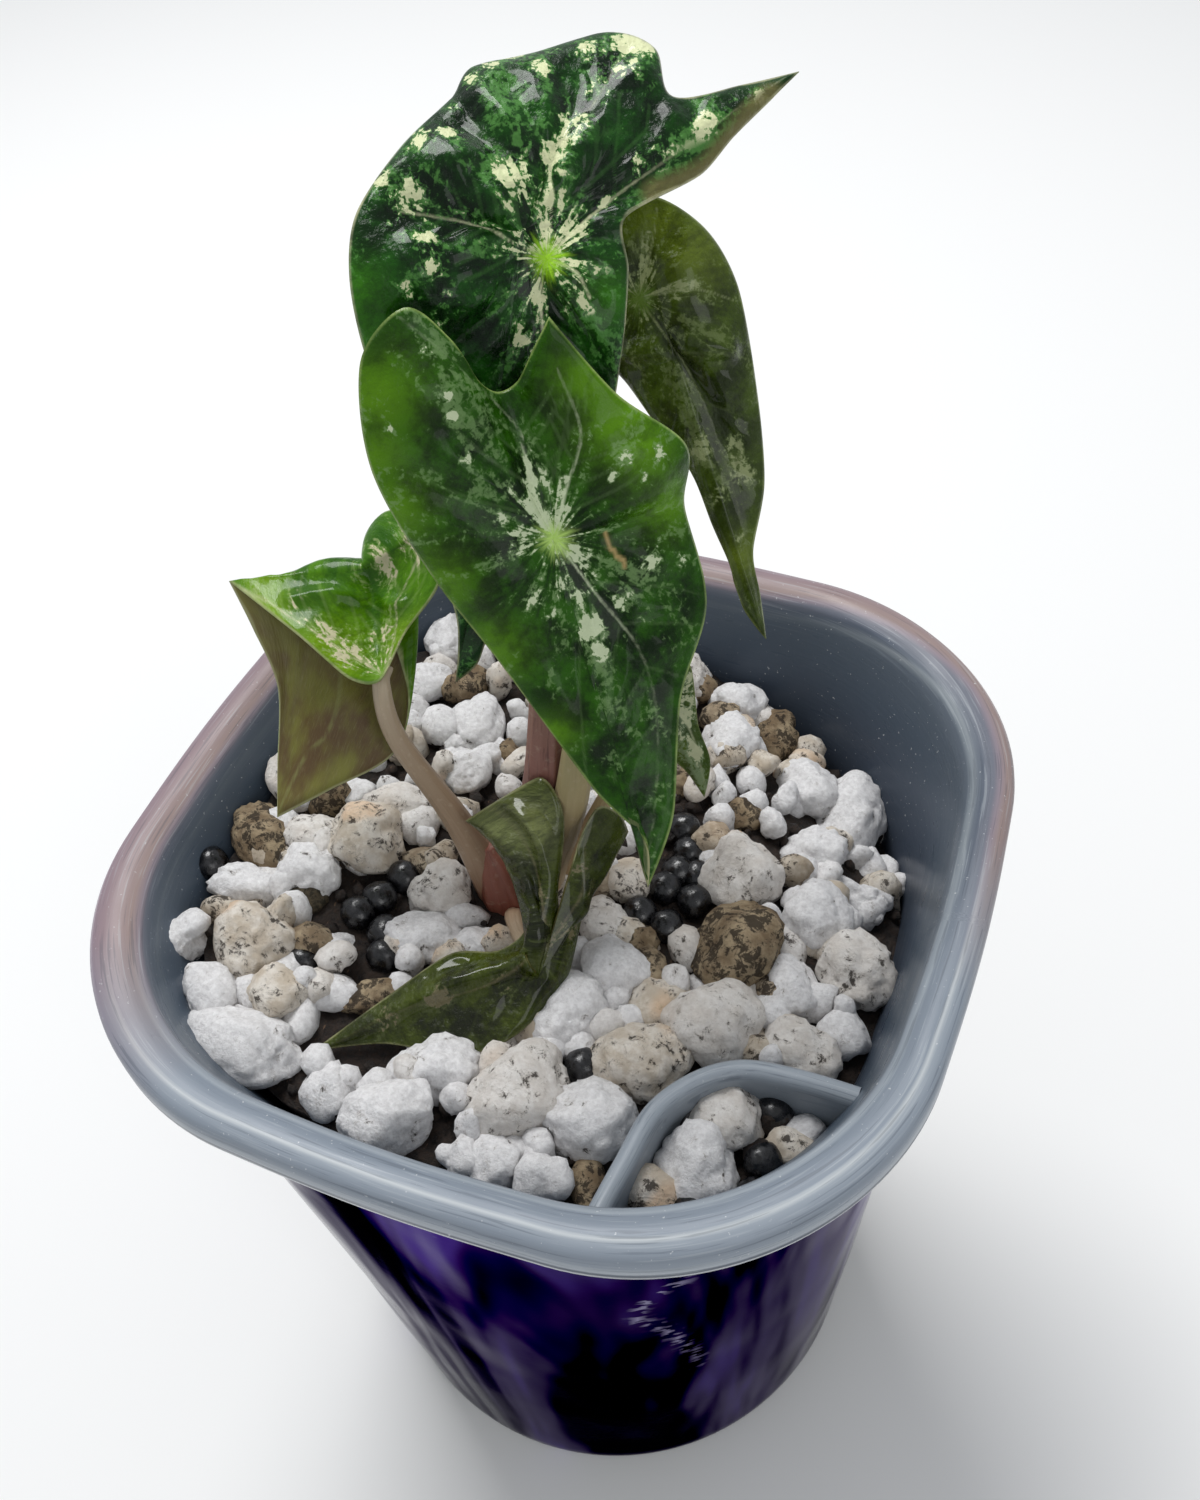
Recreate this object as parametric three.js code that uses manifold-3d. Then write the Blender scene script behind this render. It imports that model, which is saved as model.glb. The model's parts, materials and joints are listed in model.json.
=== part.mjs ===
// A young alocasia polly in a self-watering double pot, in millimetres, +Z up.
// The frame stands on the middle of the outer pot's foot. The pot's sides face +-X and +-Y,
// and its watering port is in the (+X, -Y) corner.
import * as THREE from "three";
import { mergeVertices } from "three/addons/utils/BufferGeometryUtils.js";
import Module from "manifold-3d";

const wasm = await Module();
wasm.setup();

// Driving sizes of the pots.
const RIM_WIDTH = 105; // across the flats of the liner's rim
const POT_HEIGHT = 117.7; // to the top of the liner's rim
const FOOT_WIDTH = 80.8; // the round foot of the outer pot
const SHELL_WALL = 1.8; // outer pot
const CLEARANCE = 0.3; // between pieces that touch on the real thing
const RIM_CORNER = 0.635; // corner radius of the rim, as a share of its half-width
const SIDE_BOW = 1.56; // how far each side of the rim swells out
const RING_SIDES = 40; // facets round a pot

// The liner's wall, floor and watering port.
const LINER_FLOOR = 32; // top of the floor, above the water
const FLOOR_THICKNESS = 2;
const LINER_WALL = 1.3;
const DRAIN_HOLES = 8;
const DRAIN_RADIUS = 2.2;
const DRAIN_CIRCLE = 22; // radius of the circle that the holes lie on
const PARTITION_THICKNESS = 2.6;
const PARTITION_TOP = 110.5;
const PARTITION_LIP = 1.2; // height of the thinner, rounded top edge
// From the front wall round to the right wall, seen from above.
const PARTITION_PATH = [
  [20.5, -50], [21.8, -38], [23.2, -29.5], [28.5, -23.2], [36, -21.4], [52, -21.6],
];
const PORT_CORNER = [[70, -21.6], [70, -70], [20.5, -70]]; // closes the port's outline past the wall

// The potting mix.
const BED_MIDDLE = 105; // height of the bed at the middle of the pot
const BED_SLOPE = 0.07; // it rises to the left
const CORNER_DIP = 0.009; // and falls away in the far right corner
const PORT_FILL_TOP = 103.5;
const BED_CELL = 12; // size of a facet of the bed's surface
const PRILL_RADIUS = 2.3; // the black fertiliser beads
const FILL_PITCH = 7.2; // spacing of the grains that are placed by rule
const FILL_SEED = 11;
const FILL_REACH = 46; // the honeycomb covers this far from the middle
const ROW_SHARE = 0.87; // distance between rows, as a share of the pitch
const CLOSENESS = 0.34; // how near two grains may lie, as a share of their added sizes
const LAYER = 0.9; // thickness of the fines that bind the grains together

// The plant.
const BLADE = 0.7; // thickness of a leaf
const FAN_STEPS = 4; // rings of facets between a leaf's hub and its margin
const SLIVER = 0.05; // edges shorter than this are closed up
const MARGIN_STEP = 4; // length of a facet along the margin
const PUCKER = 5; // facets from one pucker to the next
const CROWN_PATH = [[-4.5, -4.5, 84], [-5, -4.5, 98], [-5, -5, 106], [-5.5, -5, 112]];
const CROWN_RADII = [2.6, 4.4, 3.6, 2.4];

// Random numbers from 0 to 1, the same on each run.
function dice(seed) {
  let state = seed;
  return () => {
    state = (state * 16807) % 2147483647;
    return state / 2147483647;
  };
}

function solidOf(geometry) {
  const bare = geometry.clone();
  bare.deleteAttribute("normal");
  bare.deleteAttribute("uv");
  const merged = mergeVertices(bare, 1e-5);
  return new wasm.Manifold(new wasm.Mesh({
    numProp: 3,
    vertProperties: new Float32Array(merged.attributes.position.array),
    triVerts: new Uint32Array(merged.index.array),
  }));
}

function geometryOf(solid) {
  const mesh = solid.getMesh();
  const geometry = new THREE.BufferGeometry();
  geometry.setAttribute("position", new THREE.BufferAttribute(mesh.vertProperties, 3));
  geometry.setIndex(new THREE.BufferAttribute(mesh.triVerts, 1));
  geometry.computeVertexNormals();
  return geometry;
}

function indexed(points, faces) {
  const geometry = new THREE.BufferGeometry();
  geometry.setAttribute("position", new THREE.Float32BufferAttribute(points.flat(), 3));
  geometry.setIndex(faces.flat());
  return geometry;
}

// The largest body of a solid: crumbs that a cut leaves behind are dropped.
function largestBody(solid) {
  const bodies = solid.decompose();
  return bodies.reduce((best, body) => (body.volume() > best.volume() ? body : best));
}

const joined = (solids) => wasm.Manifold.union(solids);

// One point of a rounded square with swelling sides. corner 1 gives a circle.
function ringPoint(angle, half, corner) {
  const bow = (SIDE_BOW * (1 - corner)) / (1 - RIM_CORNER);
  const flat = half - bow;
  const cos = Math.abs(Math.cos(angle));
  const sin = Math.abs(Math.sin(angle));
  const straight = flat * (1 - corner);
  let radius = flat / Math.max(cos, sin);
  if (radius * Math.min(cos, sin) > straight) {
    const along = straight * (cos + sin);
    const arc = flat * corner;
    radius = along + Math.sqrt(Math.max(along ** 2 - 2 * straight ** 2 + arc ** 2, 0));
  }
  radius += bow * (0.5 + 0.5 * Math.cos(4 * angle));
  return [radius * Math.cos(angle), radius * Math.sin(angle)];
}

// A pot-like solid through rings [half-width, height, corner]. The rows run outwards along the
// underside, up the outside, in over the top and down the inside. A row with half-width 0 is
// a point on the axis.
function potSolid(rows) {
  const points = [];
  const rings = rows.map(([half, height, corner = 1]) => {
    const first = points.length;
    if (half === 0) {
      points.push([0, 0, height]);
      return Array(RING_SIDES).fill(first);
    }
    for (let k = 0; k < RING_SIDES; k++) {
      const [x, y] = ringPoint((2 * Math.PI * (k + 0.5)) / RING_SIDES, half, corner);
      points.push([x, y, height]);
    }
    return Array.from({ length: RING_SIDES }, (_, k) => first + k);
  });
  const faces = [];
  for (let i = 0; i + 1 < rings.length; i++) {
    for (let k = 0; k < RING_SIDES; k++) {
      const next = (k + 1) % RING_SIDES;
      const [a, b, c, d] = [rings[i][k], rings[i][next], rings[i + 1][next], rings[i + 1][k]];
      if (a !== b) faces.push([a, b, c]);
      if (c !== d) faces.push([a, c, d]);
    }
  }
  return solidOf(indexed(points, faces));
}

// The liner's inner face, from the floor to the edge of the rim: [half-width, height, corner].
const INNER_WALL = [
  [36.5, LINER_FLOOR, 0.9],
  [38.6, 60, 0.85],
  [40.4, 88, 0.78],
  [41.9, 99, 0.72],
  [45.2, 111, 0.65],
  [47.0, 116.4, RIM_CORNER],
];
const grown = (rows, by) => rows.map(([half, height, corner]) => [half + by, height, corner]);

function outerPot() {
  const outside = [
    [FOOT_WIDTH / 2 - 1.4, 0, 1],
    [FOOT_WIDTH / 2, 1.4, 1],
    [44.3, 50, 0.95],
    [48.0, 96, 0.86],
    [48.8, 106, 0.8],
    [49.6, 111, 0.7],
    [50.0, 113.5, RIM_CORNER],
    [50.0, 114.9, RIM_CORNER],
  ];
  const inside = outside.slice(2).reverse();
  return potSolid([
    [0, 1.2],
    [30, 1.2],
    [31.5, 0],
    ...outside,
    ...grown(inside, -SHELL_WALL),
    [FOOT_WIDTH / 2 - SHELL_WALL + 0.1, 4.2, 1],
    [FOOT_WIDTH / 2 - 5, 3, 1],
    [0, 3],
  ]);
}

function smoothPath(points, pieces) {
  const curve = new THREE.CatmullRomCurve3(points.map(([x, y, z = 0]) => new THREE.Vector3(x, y, z)));
  return curve.getPoints(pieces);
}

// The partition's line moved sideways: positive is towards the port.
function partitionSide(offset) {
  const line = smoothPath(PARTITION_PATH, 9);
  return line.map((point, i) => {
    const before = line[Math.max(i - 1, 0)];
    const after = line[Math.min(i + 1, line.length - 1)];
    const along = after.clone().sub(before).normalize();
    return [point.x + offset * along.y, point.y - offset * along.x];
  });
}

function prism(outline, bottom, top) {
  const shape = new THREE.Shape(outline.map(([x, y]) => new THREE.Vector2(x, y)));
  const geometry = new THREE.ExtrudeGeometry(shape, { depth: top - bottom, bevelEnabled: false });
  geometry.translate(0, 0, bottom);
  return solidOf(geometry);
}

const portPrism = (offset) => prism([...partitionSide(offset), ...PORT_CORNER], 0, 140);

function partition() {
  const strip = (thickness, top) => {
    const outline = [...partitionSide(-thickness / 2), ...partitionSide(thickness / 2).reverse()];
    return prism(outline, LINER_FLOOR - 0.5, top);
  };
  const wall = strip(PARTITION_THICKNESS, PARTITION_TOP - PARTITION_LIP)
    .add(strip(PARTITION_THICKNESS * 0.6, PARTITION_TOP));
  const halfWall = grown(INNER_WALL, LINER_WALL / 2);
  const bottom = LINER_FLOOR - 1;
  return wall.intersect(potSolid([[0, bottom], [36.5, bottom, 0.9], ...halfWall, [0, halfWall.at(-1)[1]]]));
}

function liner() {
  const outerWall = grown(INNER_WALL.slice(1, 5), LINER_WALL);
  const shell = potSolid([
    [0, LINER_FLOOR - FLOOR_THICKNESS],
    [35.6, LINER_FLOOR - FLOOR_THICKNESS, 0.9],
    [37.7, LINER_FLOOR + 0.8, 0.9],
    ...outerWall,
    [47.6, 115.2, RIM_CORNER],
    [50.3, 115.2, RIM_CORNER],
    [50.4, 112.2, RIM_CORNER],
    [52.1, 112.2, RIM_CORNER],
    [RIM_WIDTH / 2, 113.4, RIM_CORNER],
    [RIM_WIDTH / 2, 116.2, RIM_CORNER],
    [51.7, 117.4, RIM_CORNER],
    [50.3, POT_HEIGHT, RIM_CORNER],
    [48.4, 117.3, RIM_CORNER],
    ...[...INNER_WALL].reverse(),
    [0, LINER_FLOOR],
  ]);
  const drains = Array.from({ length: DRAIN_HOLES }, (_, k) => {
    const turn = (2 * Math.PI * k) / DRAIN_HOLES;
    const hole = new THREE.CylinderGeometry(DRAIN_RADIUS, DRAIN_RADIUS, 8, 12);
    hole.rotateX(Math.PI / 2);
    hole.translate(DRAIN_CIRCLE * Math.cos(turn), DRAIN_CIRCLE * Math.sin(turn), LINER_FLOOR);
    return solidOf(hole);
  });
  return shell.add(partition()).subtract(joined(drains));
}

// Height of the potting mix under the grains.
function bedHeight(x, y) {
  const corner = Math.max(0, x + 0.8 * y - 25);
  return BED_MIDDLE - BED_SLOPE * x - CORNER_DIP * corner ** 2;
}

// Everything below a surface z = height(x, y).
function below(height) {
  const reach = 56;
  const cells = Math.round((2 * reach) / BED_CELL);
  const points = [];
  const faces = [];
  const at = (i, j, top) => 2 * (i * (cells + 1) + j) + top;
  for (let i = 0; i <= cells; i++) {
    for (let j = 0; j <= cells; j++) {
      const x = -reach + (2 * reach * i) / cells;
      const y = -reach + (2 * reach * j) / cells;
      points.push([x, y, 20], [x, y, height(x, y)]);
    }
  }
  for (let i = 0; i < cells; i++) {
    for (let j = 0; j < cells; j++) {
      const corners = [[i, j], [i + 1, j], [i + 1, j + 1], [i, j + 1]];
      const [a, b, c, d] = corners.map(([p, q]) => at(p, q, 1));
      faces.push([a, b, c], [a, c, d]);
      const [e, f, g, h] = corners.map(([p, q]) => at(p, q, 0));
      faces.push([e, g, f], [e, h, g]);
    }
  }
  for (let k = 0; k < cells; k++) {
    const walls = [
      [[k, 0], [k + 1, 0]],
      [[k + 1, cells], [k, cells]],
      [[cells, k], [cells, k + 1]],
      [[0, k + 1], [0, k]],
    ];
    for (const [[p, q], [r, s]] of walls) {
      faces.push([at(p, q, 0), at(r, s, 0), at(r, s, 1)], [at(p, q, 0), at(r, s, 1), at(p, q, 1)]);
    }
  }
  return solidOf(indexed(points, faces));
}

// The room inside the liner's wall, kept clear of it.
function insideLiner(clearance) {
  const wall = grown(INNER_WALL, -clearance);
  wall[0][1] = LINER_FLOOR + clearance;
  return potSolid([[0, LINER_FLOOR + clearance], ...wall, [0, wall.at(-1)[1]]]);
}

// A many-sided ball, stretched, turned about Z and dented by chance.
function lump([x, y, z], [length, width, height], turn, detail, roughness, roll) {
  const ball = new THREE.IcosahedronGeometry(1, detail);
  ball.deleteAttribute("normal");
  ball.deleteAttribute("uv");
  const grain = mergeVertices(ball, 1e-4);
  const position = grain.attributes.position;
  for (let i = 0; i < position.count; i++) {
    const swell = 1 + roughness * (roll() - 0.5);
    position.setXYZ(i, position.getX(i) * swell, position.getY(i) * swell, position.getZ(i) * swell);
  }
  grain.scale(length / 2, width / 2, height / 2);
  grain.rotateZ(THREE.MathUtils.degToRad(turn));
  grain.translate(x, y, z);
  return solidOf(grain);
}

// Grains of perlite and pumice that the eye picks out: x, y, length, width, turn in degrees.
const GRAINS = [
  [-41, -29, 9, 8, 20], [-25.5, -37, 15, 9.5, -22], [-5.5, -39, 10.5, 9, 10],
  [15, -31.5, 11.5, 9.5, 0], [7, -30.5, 12.5, 10, 35], [-3.5, -31.5, 10.5, 7.5, 0],
  [19, -23, 11.5, 9, -20], [24.5, -15.5, 11.5, 10, 0], [24, -4, 11, 13, -15],
  [21.5, 7, 10.5, 10, 15], [30, 26, 9, 13, -20], [24.5, 27, 8, 8, 0], [35.5, 12, 9, 5.5, -15],
  [37, -1.5, 8, 10, 25], [31, 4.5, 8.5, 9, 0], [34, -14, 9, 6.5, -20], [-33, -33, 7.5, 7, 0],
  [-31.5, -25, 10.5, 10, 0], [-25.5, -30, 8, 7, 0], [-36.5, -16, 8, 5.5, 0],
  [-29, -17.5, 8, 5.5, 10], [-31, -11.5, 8, 7.5, 0], [-26.5, -6, 10.5, 9.5, 0],
  [-40.5, -8, 6.5, 11, 25], [-41, 1, 7, 9, 20], [-41, 10, 6, 8, 0], [-22.5, -22, 6.5, 7.5, 0],
  [-14, -9, 8, 6.5, 0], [-14, -16.5, 9.5, 6.5, 0], [-15, -25.5, 10, 5, 0], [-32, 33, 7, 9, 0],
  [-32, 24, 7, 7, 0], [-21.5, 18.5, 7.5, 9.5, 0], [-19, 11, 7, 7, 0], [-25, 2, 9.5, 6.5, 0],
  [3, 39, 8, 7, 0], [10, 37.5, 8.5, 7, 0], [11.5, 29, 8, 9, 0], [7.5, 22, 6, 9.5, 0],
  [28.5, 16, 9, 7.5, 0], [10.5, -12, 9, 7.5, 0], [8, -20.5, 9.5, 8, 25],
];
const PORT_GRAINS = [
  [30, -25.5, 8.5, 8.5, 0], [29, -33, 8.5, 9, 20], [24.5, -38, 6.5, 6, 0], [37.5, -27.5, 6, 5, 0],
  [38.5, -24.5, 5, 4, 0], [32.5, -39, 6, 5, 0], [26, -30, 5, 6, 0], [35, -33, 6, 6, 0],
];
// Black beads that show in the gaps.
const PRILLS = [
  [-16.5, -20.5], [-21, -13], [-23, -17], [12.8, 1.5], [13.5, 8.5], [10.5, -3], [16.5, 2.2],
  [13, 12.5], [12, -25.5], [-25.5, -24.5], [-44, -17.5],
];
const PORT_PRILLS = [[29.5, -38.5], [34.5, -29], [25.6, -27], [34.5, -24.3]];

const prill = ([x, y], height, clearance = 0) => {
  const size = 2 * (PRILL_RADIUS + clearance);
  return lump([x, y, height(x, y) + 0.8], [size, size, size], 0, 0, 0, dice(1));
};

// Smaller grains on a jittered honeycomb wherever the listed ones leave room.
function fillGrains() {
  const roll = dice(FILL_SEED);
  const [crownX, crownY] = CROWN_PATH[2];
  const taken = [...GRAINS, ...PRILLS.map(([x, y]) => [x, y, 6, 6, 0]), [crownX, crownY, 8, 8, 0]];
  const found = [];
  const rows = Math.ceil(FILL_REACH / (FILL_PITCH * ROW_SHARE));
  const columns = Math.ceil(FILL_REACH / FILL_PITCH);
  const [, , , [wallHalf, , wallCorner]] = INNER_WALL;
  for (let row = -rows; row <= rows; row++) {
    for (let column = -columns; column <= columns; column++) {
      const x = (column + 0.5 * (row & 1)) * FILL_PITCH + 2 * (roll() - 0.5);
      const y = row * FILL_PITCH * ROW_SHARE + 2 * (roll() - 0.5);
      const size = 7.5 + 2 * roll();
      const turn = 180 * roll();
      const edge = Math.hypot(...ringPoint(Math.atan2(y, x), wallHalf, wallCorner));
      if (Math.hypot(x, y) > edge - 0.2 * size) continue;
      const clear = taken.every(([p, q, length, width]) =>
        Math.hypot(x - p, y - q) > CLOSENESS * (size + (length + width) / 2));
      if (clear) found.push([x, y, size, 0.8 * size, turn]);
    }
  }
  return found;
}

function grainSolid([x, y, length, width, turn], height, roll) {
  const tall = 0.82 * Math.min(length, width);
  const detail = length + width > 21 ? 1 : 0;
  const puff = detail ? 1 : 1.15; // a coarse ball is made up to the same size
  const lift = 0.12 * tall + 0.5 * roll();
  const size = [length * puff, width * puff, tall * puff];
  return lump([x, y, height(x, y) + lift], size, turn, detail, 0.22, roll);
}

// A round, tapering stem through points, with one radius for each.
function stem(points, radii, extra = 0, sides = 7, pieces = 3) {
  const knots = points.map(([x, y, z]) => new THREE.Vector3(x, y, z));
  const curve = new THREE.CatmullRomCurve3(knots, false, "centripetal");
  const count = pieces * (points.length - 1);
  const frames = curve.computeFrenetFrames(count, false);
  const vertices = [];
  const faces = [];
  for (let i = 0; i <= count; i++) {
    const centre = curve.getPointAt(i / count);
    const place = curve.getUtoTmapping(i / count) * (points.length - 1);
    const index = Math.min(Math.floor(place), points.length - 2);
    const radius = extra + THREE.MathUtils.lerp(radii[index], radii[index + 1], place - index);
    for (let k = 0; k < sides; k++) {
      const turn = (2 * Math.PI * k) / sides;
      const rim = centre.clone()
        .addScaledVector(frames.normals[i], radius * Math.cos(turn))
        .addScaledVector(frames.binormals[i], radius * Math.sin(turn));
      vertices.push([rim.x, rim.y, rim.z]);
    }
  }
  const last = count * sides;
  for (let i = 0; i < count; i++) {
    for (let k = 0; k < sides; k++) {
      const next = (k + 1) % sides;
      const [a, b] = [i * sides + k, i * sides + next];
      faces.push([a, b, b + sides], [a, b + sides, a + sides]);
    }
  }
  for (let k = 1; k + 1 < sides; k++) faces.push([0, k + 1, k], [last, last + k, last + k + 1]);
  return solidOf(indexed(vertices, faces));
}

// Each leaf is a fan of creases from a hub on its back to points round its margin.
// A margin row is [x, y, z] and then, where needed, tip: the margin comes to a point there,
// bulge: how far the crease arches off the leaf's plane, or over: a point that it rolls over.
// relief is the height of the puckers between the veins.
const tip = true;
const LEAVES = {
  front: {
    hub: [5.5, -4, 165],
    relief: 0.35,
    margin: [
      [19, -18.5, 134, { tip }], [20, -13, 139.5], [18.5, -5.5, 149], [19, 1.5, 156], [15.5, 5.5, 164.5],
      [15.5, 6.5, 171, { bulge: 2.5 }], [9.5, 4.5, 177, { bulge: 2 }], [3.5, 4.5, 184, { tip }],
      [1.5, 2, 177], [-3, 0, 181.5], [-7.5, -2, 187, { bulge: 2 }], [-10.5, -6, 183.5, { bulge: 2.5 }],
      [-9.5, -9.5, 174.5, { bulge: 2 }], [-4.5, -11, 164.5, { bulge: 2 }], [2, -12, 155.5, { bulge: 1.5 }],
      [12, -14.5, 142.5],
    ],
  },
  top: {
    hub: [-2.5, 13, 187],
    relief: 0.4,
    margin: [
      [-8.5, -5.5, 143, { tip }], [-5, -3, 148], [0.5, 2.5, 156], [5.5, 9, 166.5],
      [7, 12.5, 176, { bulge: 1.5 }], [7, 15.5, 183, { bulge: 1 }], [6, 18, 187],
      [10.5, 26.5, 187.5, { bulge: 0.5 }], [12.5, 31, 189.5], [15, 35.5, 191.5],
      [16.5, 39.5, 192.5, { tip }], [12, 35.5, 192.5], [6.5, 30.5, 193],
      [3.5, 34, 196, { bulge: 1 }], [-1.5, 34.5, 197], [-7, 30, 196.5, { bulge: 2 }],
      [-12, 25, 196.5, { bulge: 2.5 }], [-12.5, 21.5, 195, { bulge: 2.5 }],
      [-14.5, 14, 193.5, { bulge: 2 }], [-16, 6.5, 190.5],
      [-15.5, 2.5, 186.5, { bulge: 1.5 }], [-14, 0, 180.5, { bulge: 1 }], [-12, -1, 169], [-8, -2.5, 154],
    ],
  },
  back: {
    hub: [7, 25, 171],
    relief: 0.3,
    margin: [
      [21.5, 14.5, 140, { tip }], [20, 17, 144], [18.5, 19, 148.5], [18.5, 23, 155],
      [16.5, 26.5, 164, { bulge: 2 }], [13, 30.5, 174, { bulge: 2 }], [8.5, 32, 179.5, { bulge: 2 }],
      [2.5, 30.5, 182.5], [-0.5, 26.5, 177.5], [-3, 26.5, 174], [-1, 24.5, 168], [3, 23, 165],
      [7, 21.5, 161], [11, 20.5, 156.5], [14, 18.5, 151.5], [16.5, 17, 147.5], [18.5, 15.5, 143],
    ],
  },
  left: {
    hub: [-24, 6, 146.5],
    relief: 0,
    margin: [
      [-30, -15.5, 123.5, { tip, over: [-28.5, 14, 146] }], [-31.5, -11, 127.5, { over: [-31.5, 12, 146] }],
      [-33, -5, 134.5, { over: [-34, 9.5, 146.5] }], [-36.5, -2, 140.5, { over: [-35, 5.5, 147.5] }],
      [-39.5, 0, 145.5, { tip }], [-28, -4.5, 144], [-21.5, -6, 140.5], [-18.5, -4.5, 139.5],
      [-17, 0.5, 143], [-14.5, 6, 147], [-12, 14, 151, { tip }],
      [-17, 9, 144, { over: [-18.5, 14, 150.5] }], [-17.5, -1, 135, { over: [-20, 15.5, 148.5] }],
      [-18, -6, 129, { over: [-22, 16, 147.5] }], [-24.5, -11.5, 126, { over: [-25, 15, 146.5] }],
    ],
  },
  small: {
    hub: [4.5, -19.5, 111.5],
    relief: 0.2,
    margin: [
      [-18.5, -35, 107, { tip }], [-11, -32, 107], [-2.5, -30, 107], [3, -27, 107], [5.5, -21.5, 108],
      [7.5, -16, 109.5], [8, -8.5, 114], [7.5, -4.5, 118.5], [9, -1, 122, { tip }], [6.5, -3.5, 124.5],
      [6.5, -8, 120.5], [6.3, -11.5, 117], [5.2, -15, 114], [3.3, -11.5, 117.5], [1.5, -7.5, 122],
      [0.5, -4.5, 126], [-1, -3.5, 128], [-9, -7.5, 121.5, { tip, over: [2, -9, 125] }],
      [-2.5, -9, 117], [1, -14.5, 113], [-1, -18, 112.5], [-6.5, -20, 112], [-11.5, -26.5, 110.5],
    ],
  },
  hidden: {
    hub: [9.5, 12.5, 128],
    relief: 0,
    margin: [
      [15, 10.5, 114.5, { tip }], [15, 13, 118.5], [13, 14.5, 123], [11.5, 16.5, 131], [8.5, 15.5, 133.5],
      [6, 11.5, 131], [8, 10.5, 123.5], [12.5, 11, 118],
    ],
  },
};

// The average plane of a closed line of points.
function planeNormal(points) {
  const centre = points.reduce((sum, p) => sum.add(p), new THREE.Vector3()).divideScalar(points.length);
  const normal = new THREE.Vector3();
  points.forEach((p, i) => {
    const q = points[(i + 1) % points.length];
    normal.add(p.clone().sub(centre).cross(q.clone().sub(centre)));
  });
  return normal.normalize();
}

// A closed smooth line through points. Its tangents are no longer than the shorter neighbouring
// span, and nothing at a tip, so that it comes to a point there.
function closedCurve(points, tips, steps) {
  const count = points.length;
  const tangents = points.map((p, i) => {
    const before = points[(i + count - 1) % count];
    const after = points[(i + 1) % count];
    const tangent = after.clone().sub(before).multiplyScalar(0.5);
    const limit = Math.min(p.distanceTo(before), p.distanceTo(after));
    if (tangent.length() > limit) tangent.setLength(limit);
    return tips[i] ? tangent.set(0, 0, 0) : tangent;
  });
  const line = [];
  points.forEach((p, i) => {
    const j = (i + 1) % count;
    for (let k = 0; k < steps[i]; k++) {
      const s = k / steps[i];
      line.push(new THREE.Vector3()
        .addScaledVector(p, 2 * s ** 3 - 3 * s ** 2 + 1)
        .addScaledVector(tangents[i], s ** 3 - 2 * s ** 2 + s)
        .addScaledVector(points[j], 3 * s ** 2 - 2 * s ** 3)
        .addScaledVector(tangents[j], s ** 3 - s ** 2));
    }
  });
  return line;
}

// One facet of a leaf given thickness: its three corners on the upper face, then the same on the
// lower one. Facets that share an edge split the wall between them alike.
function facetSolid(corners, order) {
  const faces = [[0, 1, 2], [3, 5, 4]];
  for (const [a, b] of [[0, 1], [1, 2], [2, 0]]) {
    if (order[a] < order[b]) faces.push([a, a + 3, b + 3], [a, b + 3, b]);
    else faces.push([a, a + 3, b], [a + 3, b + 3, b]);
  }
  return solidOf(indexed(corners, faces));
}

// A leaf as one closed blade: a fan of facets, each given the same thickness and all joined.
function blade({ hub, margin, relief }, thickness = BLADE) {
  const centre = new THREE.Vector3(...hub);
  const ends = margin.map(([x, y, z]) => new THREE.Vector3(x, y, z));
  const options = margin.map((row) => row[3] || {});
  const normal = planeNormal(ends);
  const bends = ends.map((end, i) => {
    const { bulge = 0, over } = options[i];
    if (over) return new THREE.Vector3(...over);
    const reach = end.clone().sub(centre);
    reach.addScaledVector(normal, -reach.dot(normal));
    return centre.clone().addScaledVector(reach, 0.5).addScaledVector(normal, bulge);
  });
  const steps = ends.map((end, i) => {
    const span = end.distanceTo(ends[(i + 1) % ends.length]);
    return Math.max(1, Math.round(span / MARGIN_STEP));
  });
  const edge = closedCurve(ends, options.map((o) => o.tip), steps);
  const bend = closedCurve(bends, bends.map(() => false), steps);
  const around = edge.length;
  const middle = [centre];
  for (let ring = 1; ring <= FAN_STEPS; ring++) {
    const v = ring / FAN_STEPS;
    for (let k = 0; k < around; k++) {
      const swell = relief * 6.75 * v * v * (1 - v) * Math.cos((2 * Math.PI * k) / PUCKER);
      middle.push(new THREE.Vector3()
        .addScaledVector(centre, (1 - v) ** 2)
        .addScaledVector(bend[k], 2 * v * (1 - v))
        .addScaledVector(edge[k], v ** 2)
        .addScaledVector(normal, swell));
    }
  }
  const fan = [];
  for (let k = 0; k < around; k++) {
    const next = (k + 1) % around;
    fan.push([0, 1 + k, 1 + next]);
    for (let ring = 1; ring < FAN_STEPS; ring++) {
      const inner = 1 + (ring - 1) * around;
      const outer = inner + around;
      fan.push([inner + k, outer + k, outer + next], [inner + k, outer + next, inner + next]);
    }
  }
  const normals = middle.map(() => new THREE.Vector3());
  for (const [a, b, c] of fan) {
    const face = middle[b].clone().sub(middle[a]).cross(middle[c].clone().sub(middle[a]));
    [a, b, c].forEach((v) => normals[v].add(face));
  }
  normals.forEach((n) => n.normalize());
  const [upper, lower] = [0.5, -0.5].map((side) => middle.map((p, i) =>
    p.clone().addScaledVector(normals[i], side * thickness).toArray()));
  const facets = fan.map((order) => {
    const corners = [upper, lower].flatMap((face) => order.map((v) => face[v]));
    return facetSolid(corners, order);
  });
  const whole = joined(facets.filter((facet) => facet.volume() > 0));
  return largestBody(whole).simplify(SLIVER);
}

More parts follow.
